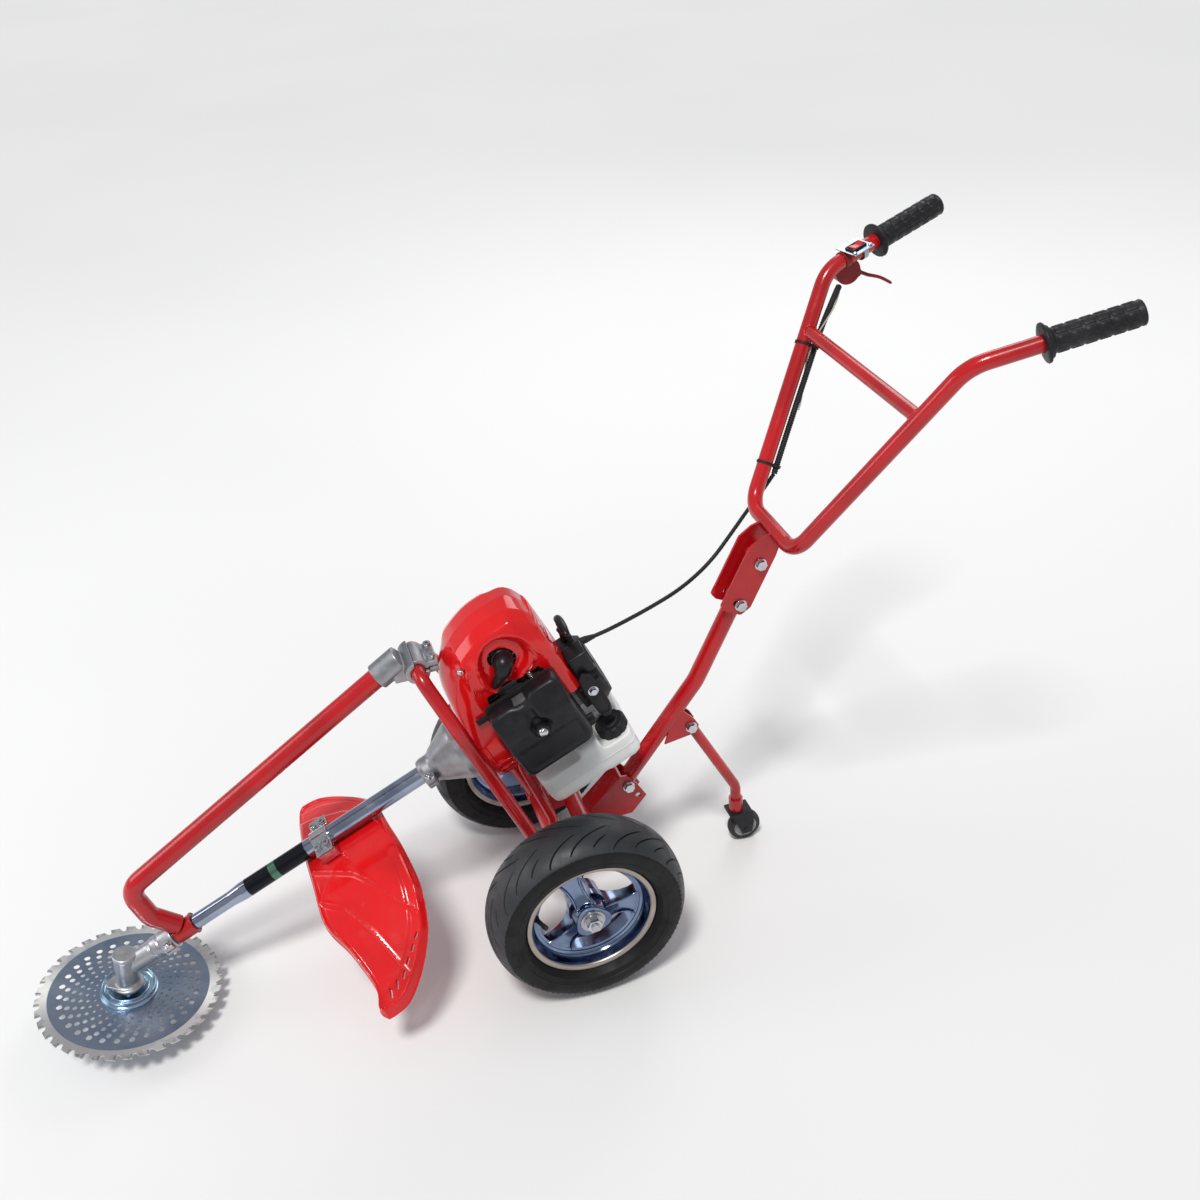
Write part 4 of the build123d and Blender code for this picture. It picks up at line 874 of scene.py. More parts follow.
# Raised steps of the shield, as (y, s) in the engine's millimetres. Several points of steps 1 to 3 were
# worked out by a scratch script, which projected places marked on the photo onto the shield.
GUARD_STEP_1 = [(18, -222), (32, -200), (65, -153), (92, -133), (116, -120), (158, -93), (180, -78)]
GUARD_STEP_2 = [(66, -224), (80, -207), (101, -183), (143, -162), (186, -150), (212, -143)]
GUARD_STEP_3 = [(-97, -228), (-84, -190), (-58, -144), (-28, -108), (20, -92)]
GUARD_STEP_4 = [(-126, -222), (-112, -175), (-78, -133), (-40, -100)]
GUARD_RIB = [(34, -150), (40, -170), (58, -192), (78, -209)]
GUARD_SLOTS = [(172, -112, 32), (181, -124, 34), (190, -138, 36), (198, -152, 40), (203, -166, 52),
               (207, -179, 60)]


def plane_curve(points, steps):
    """Smooth (a, b) curve through (a, b) points."""
    return [(p.x, p.y) for p in through([(a, b, 0) for a, b in points], steps)]


def on_curve(points, x):
    """Height at x of a polyline of (x, height) points."""
    for a, b in zip(points, points[1:]):
        if a[0] <= x <= b[0]:
            return a[1] + (b[1] - a[1]) * (x - a[0]) / max(b[0] - a[0], 1e-9)
    return points[0][1] if x < points[0][0] else points[-1][1]


GUARD_ARC = plane_curve(GUARD_CROWN, 8)


def past(line, y, s):
    """Distance from a polyline in (y, s); positive on its outer side, towards the far tip."""
    best = None
    for a, b in zip(line, line[1:]):
        run_y, run_s = b[0] - a[0], b[1] - a[1]
        share = ((y - a[0]) * run_y + (s - a[1]) * run_s) / (run_y * run_y + run_s * run_s)
        share = min(max(share, 0.0), 1.0)
        off_y, off_s = y - a[0] - run_y * share, s - a[1] - run_s * share
        away = hypot(off_y, off_s)
        if best is None or away < abs(best):
            best = away if off_y * run_s - off_s * run_y > 0 else -away
    return best


def crest(distance, width):
    return exp(-(distance / width) ** 2)


def guard_height(y, s, rim_gap, back_gap):
    """Crown of the shield with its clamp pad, terraces, thin ribs and turned-down rim."""
    pad = (1 - smooth(33, 37, abs(y))) * (1 - smooth(17, 21, abs(s + 170)))
    first, second = past(GUARD_STEP_1, y, s), past(GUARD_STEP_2, y, s)
    near, far = past(GUARD_STEP_3, y, s), past(GUARD_STEP_4, y, s)
    terrace = -2.6 * smooth(-1.6, 1.6, first) - 2.6 * smooth(-1.6, 1.6, second)
    terrace += -2.4 * smooth(1.6, -1.6, near) - 2.4 * smooth(1.6, -1.6, far)
    rib = 1.5 * crest(first + 2.0, 1.7) + 1.5 * crest(second + 2.0, 1.7)
    rib = rib + 1.2 * crest(past(GUARD_RIB, y, s), 1.3)
    band = 2.4 * smooth(21, 18, back_gap) * smooth(60, 90, y)
    raised = (1 - pad) * smooth(4, 9, rim_gap)
    rolled = (7.0 + 6.0 * smooth(60, 120, y)) * (1 - smooth(0, 6.5, rim_gap)) ** 1.4
    edge_drop = 1.0 * (1 - smooth(5, 11, rim_gap))
    return on_curve(GUARD_ARC, y) + (terrace + rib - band) * raised - edge_drop - rolled - 0.4


def guard():
    columns, rows = 200, 80
    front, back = plane_curve(GUARD_FRONT, 4), plane_curve(GUARD_BACK, 4)
    points = []
    for i in range(columns + 1):
        y = -147.6 + 372.4 * (0.5 - 0.5 * cos(pi * i / columns))
        low, high = on_curve(front, y), on_curve(back, y)
        for j in range(rows + 1):
            s = low + (high - low) * (0.5 - 0.5 * cos(pi * j / rows))
            back_gap = abs(past(back, y, s))
            points.append((guard_height(y, s, min(abs(past(front, y, s)), back_gap), back_gap), y, s))
    mesh = mesh_of("guard", (points, grid_faces(columns, rows)), ENGINE)
    mesh = thickened(mesh, 0.0028, (1, 0, 0))
    slots = []
    for y, s, turn in GUARD_SLOTS:
        slot = moved(block((60, 3.2, 9.0), corner=1.4, edge=0.2), Matrix.Rotation(radians(turn), 4, "X"))
        slots.append(mesh_of("slot", moved(slot, shift(on_curve(GUARD_ARC, y), y, s)), ENGINE))
    shown("guard_shield", cut(mesh, slots), guard_plastic, "frame", ["guard"], 40)
    plates = [block((1.4, 21, 25), (6.8, side * 26.5, -170), corner=1.5, edge=0.4) for side in (1, -1)]
    piece("guard_clamp_plates", joined(*plates), ENGINE, chrome, "frame")


# ---------------------------------------------------------------- engine

def clutch_housing():
    """Polished cone from the tube clamp to the lobed flange, with its split ear and screw."""
    outer = [(13.05, -4), (18.4, -4), (19.4, -2.6), (20.6, 1), (21, 3), (21, 13), (22.4, 17), (26, 22),
             (35, 39), (43.2, 54), (45.6, 59), (46.3, 66), (46.6, 78), (48.5, 80), (55.4, 80.2),
             (56.8, 81.4), (57, 84.4), (56.4, 86), (39.8, 86), (39.8, 59.2), (7, 59.2), (7, 24),
             (13.05, 24)]

    def lobes(angle, r, z):
        lift = max(0.0, cos(2 * (angle - radians(45)))) ** 6
        return 1 + (0.045 * lift if r > 50 else 0)

    shape = turned(outer, 1.2, 3, sides=128, wobble=lobes)
    piece("clutch_housing_cone", shape, ENGINE, cast_metal, "frame", ["clutch_housing"],
          38)
    ear = block((17, 11.5, 15.5), (0, 24.4, 6), corner=3, edge=1.8)
    slit = block((1.6, 12, 18), (0, 27, 6), corner=0.2, edge=0.1)
    ears = cut(cast(mesh_of("ear", ear, ENGINE), 0.7, 3, 0.5), [mesh_of("slit", slit, ENGINE)])
    shown("clutch_housing_ear", ears, cast_metal, "frame", sharp=50)
    screw = [(0, 8.2), (4.6, 8.2), (5, 8.8), (5, 13.2), (4.4, 14), (2.6, 14), (2.6, 11), (0, 11)]
    screw = moved(turned(screw, 0.3, 1, sides=32), shift(0, 25.6, 6) @ Z_TO_X)
    piece("clutch_housing_screw", screw, ENGINE, chrome, "frame")


HOOD_TOP = [(86, 66), (90, 84), (97, 113), (110, 138), (130, 157), (155, 171), (182, 179.4), (206, 180),
            (232, 177), (244, 166), (HOOD_BACK, 150)]
HOOD_HALF = [(86, 58), (100, 57.5), (122, 55.5), (140, 54), (236, 54), (246, 52), (HOOD_BACK, 48)]


def hood_section(s):
    """Half outline at s: (share of half width, share of height), faceted from flank to crest."""
    corners = [(1.0, 0.0), (1.0, 0.66), (0.88, 0.86), (0.55, 0.972), (0.0, 1.0)]
    facets = even(rounded(corners, 0.045, 4, closed=False), 0.03)
    blend = smooth(92, 142, s)
    out = []
    for k, p in enumerate(facets):
        angle = pi / 2 * k / (len(facets) - 1)
        out.append((p.x * blend + cos(angle) * (1 - blend), p.y * blend + sin(angle) * (1 - blend)))
    return out


def hood_relief(t, s, side):
    """Height added to the hood's flank: sunk teardrop and its surround, louvres and a screw pocket."""
    along, out = (t - PLUG_T) * 0.80 + (s - PLUG_S) * 0.60, (t - PLUG_T) * -0.60 + (s - PLUG_S) * 0.80
    half = 33 - 0.30 * max(0.0, -along) + 0.10 * max(0.0, along)
    reach = hypot(along, out) if along > 0 else hypot(along * 0.44, out)
    inside = reach / max(half, 6)
    recess = -8.5 * (1 - smooth(0.84, 1.03, inside))
    ridge = 3.4 * exp(-((inside - 1.17) / 0.10) ** 2)
    rear = 1.5 * abs(sin(pi * t / 8.0)) * smooth(229, 233, s) * smooth(80, 88, t)
    if side < 0:
        recess, ridge = 0.55 * recess, 0.6 * ridge
    screw_gap = hypot(t - HOOD_SCREW_T, s - HOOD_SCREW_S)
    pocket = -7.0 * (1 - smooth(5.2, 6.8, screw_gap))
    collar = 1.6 * exp(-((screw_gap - 9.5) / 1.6) ** 2)
    shoulder = -2.4 * smooth(3, 0, t - 100 + 0.12 * (s - 150)) * smooth(124, 134, s) * smooth(212, 200, s)
    return recess + ridge + pocket + collar + rear + shoulder


def hood():
    """Shroud: loft from the round fan housing back over the cylinder, with a louvred rear face."""
    stations = [86, 86.6, 88, 90, 92.5, 95, 98, 101, 105, 109, 113] + [117 + 2.5 * k for k in range(47)]
    stations += [236, 239, 242, 245, 247.5, 249.5, HOOD_BACK]
    rings = []
    for s in stations:
        top, half = curve_value(HOOD_TOP, s), curve_value(HOOD_HALF, s)
        section = hood_section(s)
        ring = []
        for side in (1, -1):
            flank = []
            if side > 0:
                low = 18 + 70 * smooth(128, 142, s) * (1 - smooth(222, 238, s))
            else:
                low = 18 + 76 * smooth(124, 136, s) * (1 - smooth(206, 222, s))
            for y_share, t_share in section:
                t = low + (top - low) * t_share
                y = half * y_share
                facing = smooth(0.86, 0.97, y_share)
                y += hood_relief(t, s, side) * facing * smooth(118, 130, s)
                flank.append((t, side * y, s))
            ring += flank if side > 0 else flank[-2::-1]
        rings.append(ring)
    points, faces = loft(rings, closed=False)
    count = len(rings[0])
    middle = count // 2
    back = points[-count:]
    columns = 14
    start = len(points)
    for i in range(middle + 1):
        left, right = back[i], back[count - 1 - i]
        for c in range(columns + 1):
            share = c / columns
            y = left.y + (right.y - left.y) * share
            t = left.x + (right.x - left.x) * share
            swell = 3.0 * sin(pi * share)
            louvre = 1.7 * abs(sin(pi * t / 9.0)) * smooth(0.0, 0.12, share) * smooth(1.0, 0.88, share)
            edge = smooth(0, 4, middle - i)
            points.append(Vector((t, y, HOOD_BACK + (swell + louvre) * edge)))
    faces += grid_faces(middle, columns, start)
    mesh = mesh_of("hood", (points, faces), ENGINE)
    mesh = thickened(mesh, 0.0026, (0, 1, 0), 40)
    plug_hole = lathe([(0, 30), (18.5, 30), (18.5, 70), (0, 70)], 48, closed=False)
    oval = moved(plug_hole, shift(PLUG_T, 0, PLUG_S) @ Z_TO_Y @ Matrix.Rotation(radians(35), 4, "Z")
                 @ Matrix.Diagonal((1.12, 0.9, 1, 1)))
    starter = turned([(0, 236), (50.5, 236), (50.5, 270), (0, 270)], 0.3, 1, sides=64)
    mesh = cut(mesh, [mesh_of("boot_hole", oval, ENGINE), mesh_of("starter_hole", starter, ENGINE)])
    shown("cylinder_cover_hood", mesh, red_plastic, "frame", ["cylinder_cover"], 36)


def curve_value(stops, x):
    """Smooth curve value at x through (x, value) stops."""
    for i, ((x0, v0), (x1, v1)) in enumerate(zip(stops, stops[1:])):
        if x <= x1:
            before = stops[max(i - 1, 0)]
            after = stops[min(i + 2, len(stops) - 1)]
            m0 = (v1 - before[1]) / max(x1 - before[0], 1e-6)
            m1 = (after[1] - v0) / max(after[0] - x0, 1e-6)
            h, s = x1 - x0, (x - x0) / (x1 - x0)
            return (v0 * (2 * s ** 3 - 3 * s * s + 1) + m0 * h * (s ** 3 - 2 * s * s + s)
                    + v1 * (3 * s * s - 2 * s ** 3) + m1 * h * (s ** 3 - s * s))
    return stops[-1][1]


def fan_housing():
    """Round front of the shroud with its stepped edge and shallow cooling ribs."""
    profile = [(44.2, 86.2), (46, 86), (58.5, 86), (61, 87.2), (62, 90), (62, 96), (61.2, 97), (61.2, 99),
               (62, 100), (62, 118), (61, 121), (59.6, 122), (58.6, 121.6), (58.6, 90.2), (57, 89.4),
               (44.2, 89.4)]
    piece("fan_housing_ring", turned(profile, 0.8, 2, sides=128), ENGINE, red_plastic, "frame",
          sharp=38)
    ribs = []
    for k in range(16):
        angle = radians(100 + 160 * k / 15)
        rib = block((3.2, 2.2, 24), (62.2, 0, 108), corner=0.9, edge=0.9)
        ribs.append(moved(rib, Matrix.Rotation(angle, 4, "Z")))
    piece("fan_housing_ribs", joined(*ribs), ENGINE, red_plastic, "frame")
    screws = []
    for side in (1, -1):
        head = [(0, 0), (4.6, 0), (4.6, 1.4), (3.8, 3.2), (2.2, 3.6), (2.0, 2.2), (0, 2.2)]
        head = turned(head, 0.3, 2, sides=28)
        turn = Z_TO_Y if side > 0 else Z_TO_Y.inverted()
        screws.append(moved(head, shift(HOOD_SCREW_T, side * 44.5, HOOD_SCREW_S) @ turn))
    piece("hood_screws", joined(*screws), ENGINE, chrome, "frame")


def plug_boot():
    """Moulded boot: bulb over the plug that tapers down and forward to its lead."""
    path = through([(125, 40, 189), (124.5, 50, 188.5), (122, 56.5, 186), (117, 58.5, 181),
                    (110, 57.5, 173.5), (103, 54.5, 166), (97, 50, 160), (93, 42, 156)], 6)
    radii = [(0.0, 12.6), (0.12, 13.2), (0.26, 13.4), (0.42, 11.6), (0.6, 8.2), (0.78, 5.8), (1.0, 4.2)]
    shape = sweep(path, lambda share, i: eased_value(radii, share), 28)
    seat = shift(PLUG_T, 0, PLUG_S) @ Z_TO_Y
    lip = [(9.5, 44), (14.4, 44), (15.2, 45), (15.2, 47), (14, 48), (9.5, 48)]
    knob = [(0, 58), (8.4, 58), (9.4, 60), (8.6, 64.5), (5, 66.6), (0, 67)]
    lip = moved(turned(lip, 0.7, 3, sides=40), seat)
    knob = moved(turned(knob, 1.5, 4, sides=32), seat)
    piece("plug_boot_rubber", joined(shape, lip, knob), ENGINE, black_plastic, "frame", ["plug_boot"],
          45)


def cleaner_outline():
    """Upper edge has a V notch; x is s, y is t."""
    corners = [(128, -28), (236, -28), (236, 84), (205, 84), (193, 82), (183, 74), (172, 74.5), (160, 79),
               (128, 78)]
    flat = rounded([(a, b, 0) for a, b in corners], [12, 16, 13, 8, 8, 7, 8, 12, 12], 6)
    dense = []
    for a, b in zip(flat, flat[1:] + flat[:1]):
        steps = max(1, round((b - a).length / 3.0))
        dense += [a.lerp(b, k / steps) for k in range(steps)]
    return dense


def cleaner_height(t, s, share):
    """Front of the cover: high block at the rear, slope at the top, valley from the notch to the knob."""
    base = 106.0 - 18.0 * smooth(46, 84, t) + 1.2 * smooth(186, 200, s) * smooth(20, 60, t)
    valley_s = KNOB_S - 0.10 * (t - KNOB_T)
    valley = 7.5 * exp(-((s - valley_s) / 8.0) ** 2) * smooth(36, 58, t) * (1 - 0.8 * smooth(58, 72, t))
    dimple = 5.2 * (1 - smooth(9.5, 16.0, hypot(t - KNOB_T, s - KNOB_S)))
    step = 1.8 * smooth(190, 183, s) * smooth(42, 50, t)
    panel = 0.9 * smooth(0.86, 0.80, share) * smooth(24, 16, t)
    return base - valley - dimple - step - panel


def air_cleaner():
    outline = cleaner_outline()
    middle = Vector((KNOB_S, 30, 0))
    shares = [(1.0, 0.0), (1.0, 0.10), (1.0, 0.35), (0.998, 0.60), (0.992, 0.76), (0.978, 0.88),
              (0.955, 0.955), (0.925, 0.988)] + [(0.90 - 0.045 * k, 1.0) for k in range(20)]
    rings = []
    for inset, lift in shares:
        ring = []
        for p in outline:
            q = middle + (p - middle) * inset
            high = cleaner_height(q.y, q.x, inset)
            ring.append((q.y, COVER_BACK + (high - COVER_BACK) * lift, q.x))
        rings.append(ring)
    mesh = mesh_of("cover", loft(rings, cap_start=False), ENGINE)
    mesh = thickened(mesh, 0.0024, (0, 1, 0))
    drill = turned([(0, 60), (4.3, 60), (4.3, 120), (0, 120)], 0.2, 1, sides=24)
    hole = mesh_of("hole", moved(drill, shift(KNOB_T, 0, KNOB_S) @ Z_TO_Y), ENGINE)
    shown("air_cleaner_shell", cut(mesh, [hole]), black_plastic, "frame", ["air_cleaner_cover"],
          40)
    clip = joined(block((12, 7, 15), (-20, 72, 237), corner=2.5, edge=1.0),
                  block((7, 9, 9), (-24, 76, 238), corner=2, edge=1.0))
    piece("air_cleaner_clip", clip, ENGINE, black_matt, "frame")
    dome = [(0, 0), (6.4, 0), (6.8, 0.8), (6.8, 1.8), (5.8, 4.4), (3.4, 6.2), (0, 6.8)]
    dome = moved(turned(dome, 0.8, 3, sides=40), shift(KNOB_T, 113.1, KNOB_S) @ Z_TO_Y)
    piece("cover_knob_dome", dome, ENGINE, chrome, "frame")


def fuel_tank():
    """Blown tank: pillowed faces, a recess for the filler, a parting seam and soft creases."""
    middle_y, middle_s = 2, 200.5
    shell = block((64, 138, 147), (-96, middle_y, middle_s), corner=15, edge=13)
    recess = block((40, 62, 62), (-64, 47, 259), corner=14, edge=8)
    step = moved(block((22, 30, 74), corner=8, edge=6),
                 shift(-63, 66, 160) @ Matrix.Rotation(0.35, 4, "Z"))
    belly = block((26, 170, 30), (-134, 2, 205), corner=10, edge=8)
    mesh = cut(mesh_of("tank", shell, ENGINE),
               [mesh_of("part", p, ENGINE) for p in (recess, step, belly)])
    mesh = cast(mesh, 1.5, 14, 0.5)
    shown("fuel_tank_shell", mesh, milky, "frame", ["fuel_tank"], 60)
    seam = rounded([(127, -67, 0), (274, -67, 0), (274, 71, 0), (127, 71, 0)], 17, 8)
    line = [(-99.5, p.y, p.x) for p in seam]

    def hoop(lift, grow):
        return [(t + lift, middle_y + (y - middle_y) * grow, middle_s + (s - middle_s) * grow)
                for t, y, s in line]

    hoops = [hoop(-1.3, 0.985), hoop(-0.9, 1.008), hoop(0.9, 1.008), hoop(1.3, 0.985)]
    band = loft(hoops, cap_start=False, cap_end=False)
    piece("fuel_tank_seam", band, ENGINE, milky, "frame")
    neck = turned([(13, -92), (17, -92), (17, -84), (16, -83), (16, -74), (13, -74)], 0.5, 2, sides=48)
    neck = moved(neck, shift(0, FILLER_Y, FILLER_S) @ Z_TO_X)
    piece("fuel_tank_neck", neck, ENGINE, milky, "frame")


def fuel_cap():
    """Fluted cap with a raised dial and grip bar."""
    profile = [(16.3, 1.2), (22.4, 1.2), (23, 2.2), (23, 12.4), (22.2, 14.8), (20, 16.6), (18.8, 16.2),
               (18, 15.4), (12, 15.2), (11.2, 16.6), (0, 16.8), (0, 12.8), (16.3, 12.8)]

    def flutes(angle, r, z):
        flute = max(0.0, cos(5 * angle)) ** 8 + max(0.0, -cos(5 * angle)) ** 8
        return 1 - (0.085 * flute * smooth(0.0, 3.0, z) if r > 19 and z < 16.3 else 0)

    cap = turned(profile, 0.7, 2, sides=120, wobble=flutes)
    bar = block((24, 5, 3), (0, 0, 17.0), corner=2, edge=0.8)
    shape = moved(joined(cap, bar), shift(-84, FILLER_Y, FILLER_S) @ Z_TO_X)
    piece("fuel_cap_fluted", shape, ENGINE, black_matt, "tank_cap", ["fuel_cap"], 34)


def starter():
    """Pull handle, the rope guide block and the flat wing on the starter housing."""
    tilt = shift(60.5, 0, 266) @ Matrix.Rotation(radians(70), 4, "Y")
    grip = [(0, -22, 18.5), (0, -20, 23), (0, -12, 25.2), (0, 0, 25.6), (0, 12, 25.2), (0, 20, 23),
            (0, 22, 18.5)]
    radii = [(0.0, 3.2), (0.15, 5.6), (0.5, 6.6), (0.85, 5.6), (1.0, 3.2)]
    bar = sweep(through(grip, 6), lambda share, i: eased_value(radii, share), 24)
    stem = [(0, 0.2), (5.6, 0.2), (6, 0.8), (5.2, 6), (5.6, 12), (8.4, 19), (0, 23)]
    stem = turned(stem, 0.8, 3, sides=36)
    piece("starter_handle_grip", moved(joined(bar, stem), tilt), ENGINE, black_plastic, "recoil",
          ["starter_handle"], 45)
    wing = rounded([(-46, 256, 0), (-36, 251, 0), (10, 250, 0), (32, 254, 0), (40, 262, 0), (34, 270, 0),
                    (8, 274, 0), (-30, 272, 0), (-46, 266, 0)], 6)
    level = Matrix(((1, 0, 0, 0), (0, 0, 1, 0), (0, 1, 0, 0), (0, 0, 0, 1)))
    middle = Vector((-2, 262, 0))
    plate = prism(wing, 52.6, 57.0, 1.2)
    rim = [middle + (p - middle) * 0.86 for p in wing]
    rib = loft([[Vector((p[0], p[1], z)) for p in line] for line, z in
                ((wing, 56.6), (wing, 58.2), (rim, 58.6), (rim, 56.6))], looped=True)
    bridge = prism([(-4, 246, 0), (14, 246, 0), (14, 280, 0), (-4, 280, 0)], 44, 53.2, 0.8)
    piece("starter_wing", moved(joined(plate, rib, bridge), level), ENGINE, black_plastic, "frame")
    head = hexagon(9.5, 57.6, 62.0)
    washer = turned([(0, 56.8), (7.8, 56.8), (7.8, 58.0), (0, 58.0)], 0.3, 1, sides=32)
    piece("starter_screw", moved(joined(head, washer), shift(4, 0, 262) @ level), ENGINE, chrome, "frame")
    block_top = joined(block((34, 34, 28), (45, 33, 269), corner=4, edge=1.6),
                       block((26, 22, 3), (45, 33, 284), corner=3, edge=0.8))
    piece("starter_rope_block", block_top, ENGINE, black_plastic, "frame")


def throttle_linkage():
    """Cable stop, return spring and fuel line round the carburettor."""
    stop = joined(block((3, 26, 16), (78, 46, 212), corner=3, edge=0.5),
                  block((20, 3, 16), (69, 58, 212), corner=2, edge=0.5))
    piece("cable_stop_bracket", stop, ENGINE, steel, "frame")
    coil = [(66 + 0.55 * k, 56 + 3.2 * cos(0.9 * k), 206 + 3.2 * sin(0.9 * k)) for k in range(44)]
    piece("return_spring", sweep(coil, 0.55, 8), ENGINE, steel, "frame")
    pipe = [(-66, 10, 216), (-54, 20, 215), (-36, 36, 210), (-12, 49, 202), (8, 52, 192), (20, 52, 184)]
    piece("fuel_line", sweep(even(nurbs(pipe), 4), 2.6, 14), ENGINE, black_rubber, "frame")


# ---------------------------------------------------------------- handlebar

def grip(side):
    """Rubber grip: stepped hand stop, rows of raised slot pads and a closed domed end."""
    length = GRIP_LENGTH
    pads, turns = [(14 + 16.6 * k, 14 + 16.6 * k + 13.2) for k in range(6)], 8
    stations = []
    for low, high in pads:
        stations += [low - 0.6, low, low + 1.2, (low + high) / 2, high - 1.2, high, high + 0.6]
    pad_edges = [(0.06, 0), (0.10, 0.5), (0.15, 1), (0.5, 1), (0.85, 1), (0.90, 0.5), (0.94, 0)]

    def ring(radius, z, raised=0.0):
        out = []
        for k in range(turns):
            for share, pad in pad_edges:
                reach = radius + raised * pad
                angle = tau * (k + share) / turns
                out.append((reach * cos(angle), reach * sin(angle), z))
        return out

    hand_stop = [(11.1, 0), (23.4, 0), (24.6, 0.6), (25, 1.6), (25, 3.0), (24.4, 4.0), (22, 4.6),
                 (20.6, 5.6), (20.4, 7.4), (19.6, 8.6), (17.4, 9.6), (16.2, 10.8), (15.6, 12.4)]
    end_cap = [(15.6, 114.6), (16.1, 115.4), (16.1, 117.4), (15.4, 118.4), (14.2, length - 0.6),
               (11.5, length), (5, length), (0.05, length), (0.05, length - 2.4), (11.1, length - 2.4)]
    rings = [ring(radius, z) for radius, z in hand_stop]
    for z in stations:
        on = any(low < z < high for low, high in pads)
        edge = any(abs(z - end) < 0.01 for pair in pads for end in pair)
        rings.append(ring(15.5, z, 1.0 if on else 0.5 if edge else 0.0))
    rings += [ring(radius, z) for radius, z in end_cap]
    name = side_name(side)
    piece("grip_%s_moulding" % name, loft(rings, cap_start=False, cap_end=False), grip_frame(side),
          black_rubber, "handle", ["grip_" + name], 42)


def conduit():
    """Corrugated conduit down the right arm, with the pale stop lead that winds beside it."""
    along = BAR_LOW - BAR_BEND
    side = Vector((-0.84, 0.425, -0.338))
    route = [Vector((-551, -187, 801))]
    route += [BAR_BEND + along * share + side * offset
              for share, offset in ((0.10, 21), (0.24, 17), (0.40, 17.4), (0.62, 16.6), (0.85, 17))]
    line = even(nurbs(route), 0.85)
    shape = sweep(line, lambda share, i: 4.5 - 0.55 * (i % 4 in (0, 3)), 14)
    piece("throttle_conduit_ribbed", shape, MACHINE, black_matt, "handle", ["throttle_conduit"],
          70)
    lead, ahead = [], along.normalized()
    first = ahead.orthogonal().normalized()
    second = ahead.cross(first)
    coarse = even(line[: len(line) * 2 // 3], 4)
    for k, p in enumerate(coarse):
        lead.append(p + (first * cos(0.16 * k) + second * sin(0.16 * k)) * 5.6)
    piece("stop_lead", sweep(lead, 1.1, 8), MACHINE, pale_wire, "handle")


CABLE_ROUTE = [(-401.6, -82.1, 585.6), (-388, -89, 560), (-367, -92, 534), (-338, -86, 505),
               (-296, -68, 475), (-243, -47, 457), (-188, -29, 450), (-135, -14, 445), (-105, -8, 442),
               (-79, -5, 440)]


def throttle_cable():
    """Free cable that sags from the last tie to the back of the engine."""
    route = [MACHINE @ Vector(p) for p in CABLE_ROUTE]
    line = even(nurbs(route), 0.003)
    shape = sweep(line, lambda share, i: 0.003 - 0.00022 * (i % 2), 14)
    cable = piece("throttle_cable_outer", shape, Matrix.Identity(4), black_rubber, None,
                  ["throttle_cable"], 60)
    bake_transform(cable)
    cuff = [(0, -7), (4.6, -7), (5.2, -5), (5.2, 6), (3.6, 16), (3.1, 20), (0, 20)]
    cuff = turned(cuff, 0.8, 3, sides=28)
    turn = (line[-2] - line[-1]).to_track_quat("Z", "Y").to_matrix().to_4x4()
    at = Matrix.Translation(line[-1]) @ turn @ Matrix.Scale(0.001, 4)
    piece("throttle_cable_boot", cuff, at, black_rubber, "frame")


def switch():
    """Bezel, rocker with its dished face, and the two plate screws."""
    outer = rounded([(-9.4, -13, 0), (9.4, -13, 0), (9.4, 13, 0), (-9.4, 13, 0)], 2.5)
    inner = [(p.x * 0.735, p.y * 0.835) for p in outer]
    rings = [[(p[0], p[1], z) for p in line] for line, z in
             (([(q.x, q.y) for q in outer], 0.0), ([(q.x, q.y) for q in outer], 1.8),
              ([(q.x * 0.94, q.y * 0.95) for q in outer], 2.6), (inner, 2.6), (inner, 0.0))]
    turn = shift(14.4, 10, -4) @ Matrix(((0, 0, 1, 0), (1, 0, 0, 0), (0, 1, 0, 0), (0, 0, 0, 1)))
    piece("switch_bezel", moved(loft(rings, looped=True), turn), BAR, black_plastic, "handle")
    rings = []
    for k in range(13):
        z = -9.8 + 19.6 * k / 12
        rise = 1.9 + 2.4 * (z / 9.8) ** 2
        soft = 1.0 if 0 < k < 12 else 0.85
        rings.append([(-1.8, -5.9, z), (-1.8, 5.9, z), (rise - 0.7, 6.0 * soft, z), (rise, 5.3 * soft, z),
                      (rise - 0.35, 0, z), (rise, -5.3 * soft, z), (rise - 0.7, -6.0 * soft, z)])
    piece("rocker_switch_cap", moved(loft(rings), shift(14.6, 10, -4)), BAR, rocker_red, "rocker",
          ["rocker_switch"], 40)
    heads = []
    for z in (-18, 10.5):
        head = turned([(0, 0), (3.2, 0), (3.2, 0.8), (2.2, 2.0), (0, 2.3)], 0.3, 2, sides=24)
        heads.append(moved(head, shift(14.4, 24, z) @ Z_TO_X))
    piece("switch_screws", joined(*heads), BAR, chrome, "handle")


def perch():
    """Round throttle housing with stepped rings, and its clamp band on the arm."""
    at = place(PERCH_CENTRE, (1, 0, 0), (0, 1, 0))
    rings = []
    for sign in (1, -1):
        profile = [(0, 4.4), (6, 4.4), (6.6, 5.4), (9.6, 5.4), (10.2, 6.4), (13.4, 6.4), (14.2, 7.4),
                   (17.2, 7.4), (18.8, 6.2), (18.8, 3.5), (16.2, 3.5), (16.2, 3.4), (0, 3.4)]
        shape = turned(profile, 0.5, 2, sides=72)
        rings.append(moved(shape, at @ (Matrix.Identity(4) if sign > 0 else Matrix.Rotation(pi, 4, "X"))))
    piece("lever_perch_faces", joined(*rings), Matrix.Identity(4), lever_plastic, "handle")
    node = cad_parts["lever_perch"].data
    node.materials.clear()
    node.materials.append(lever_plastic)


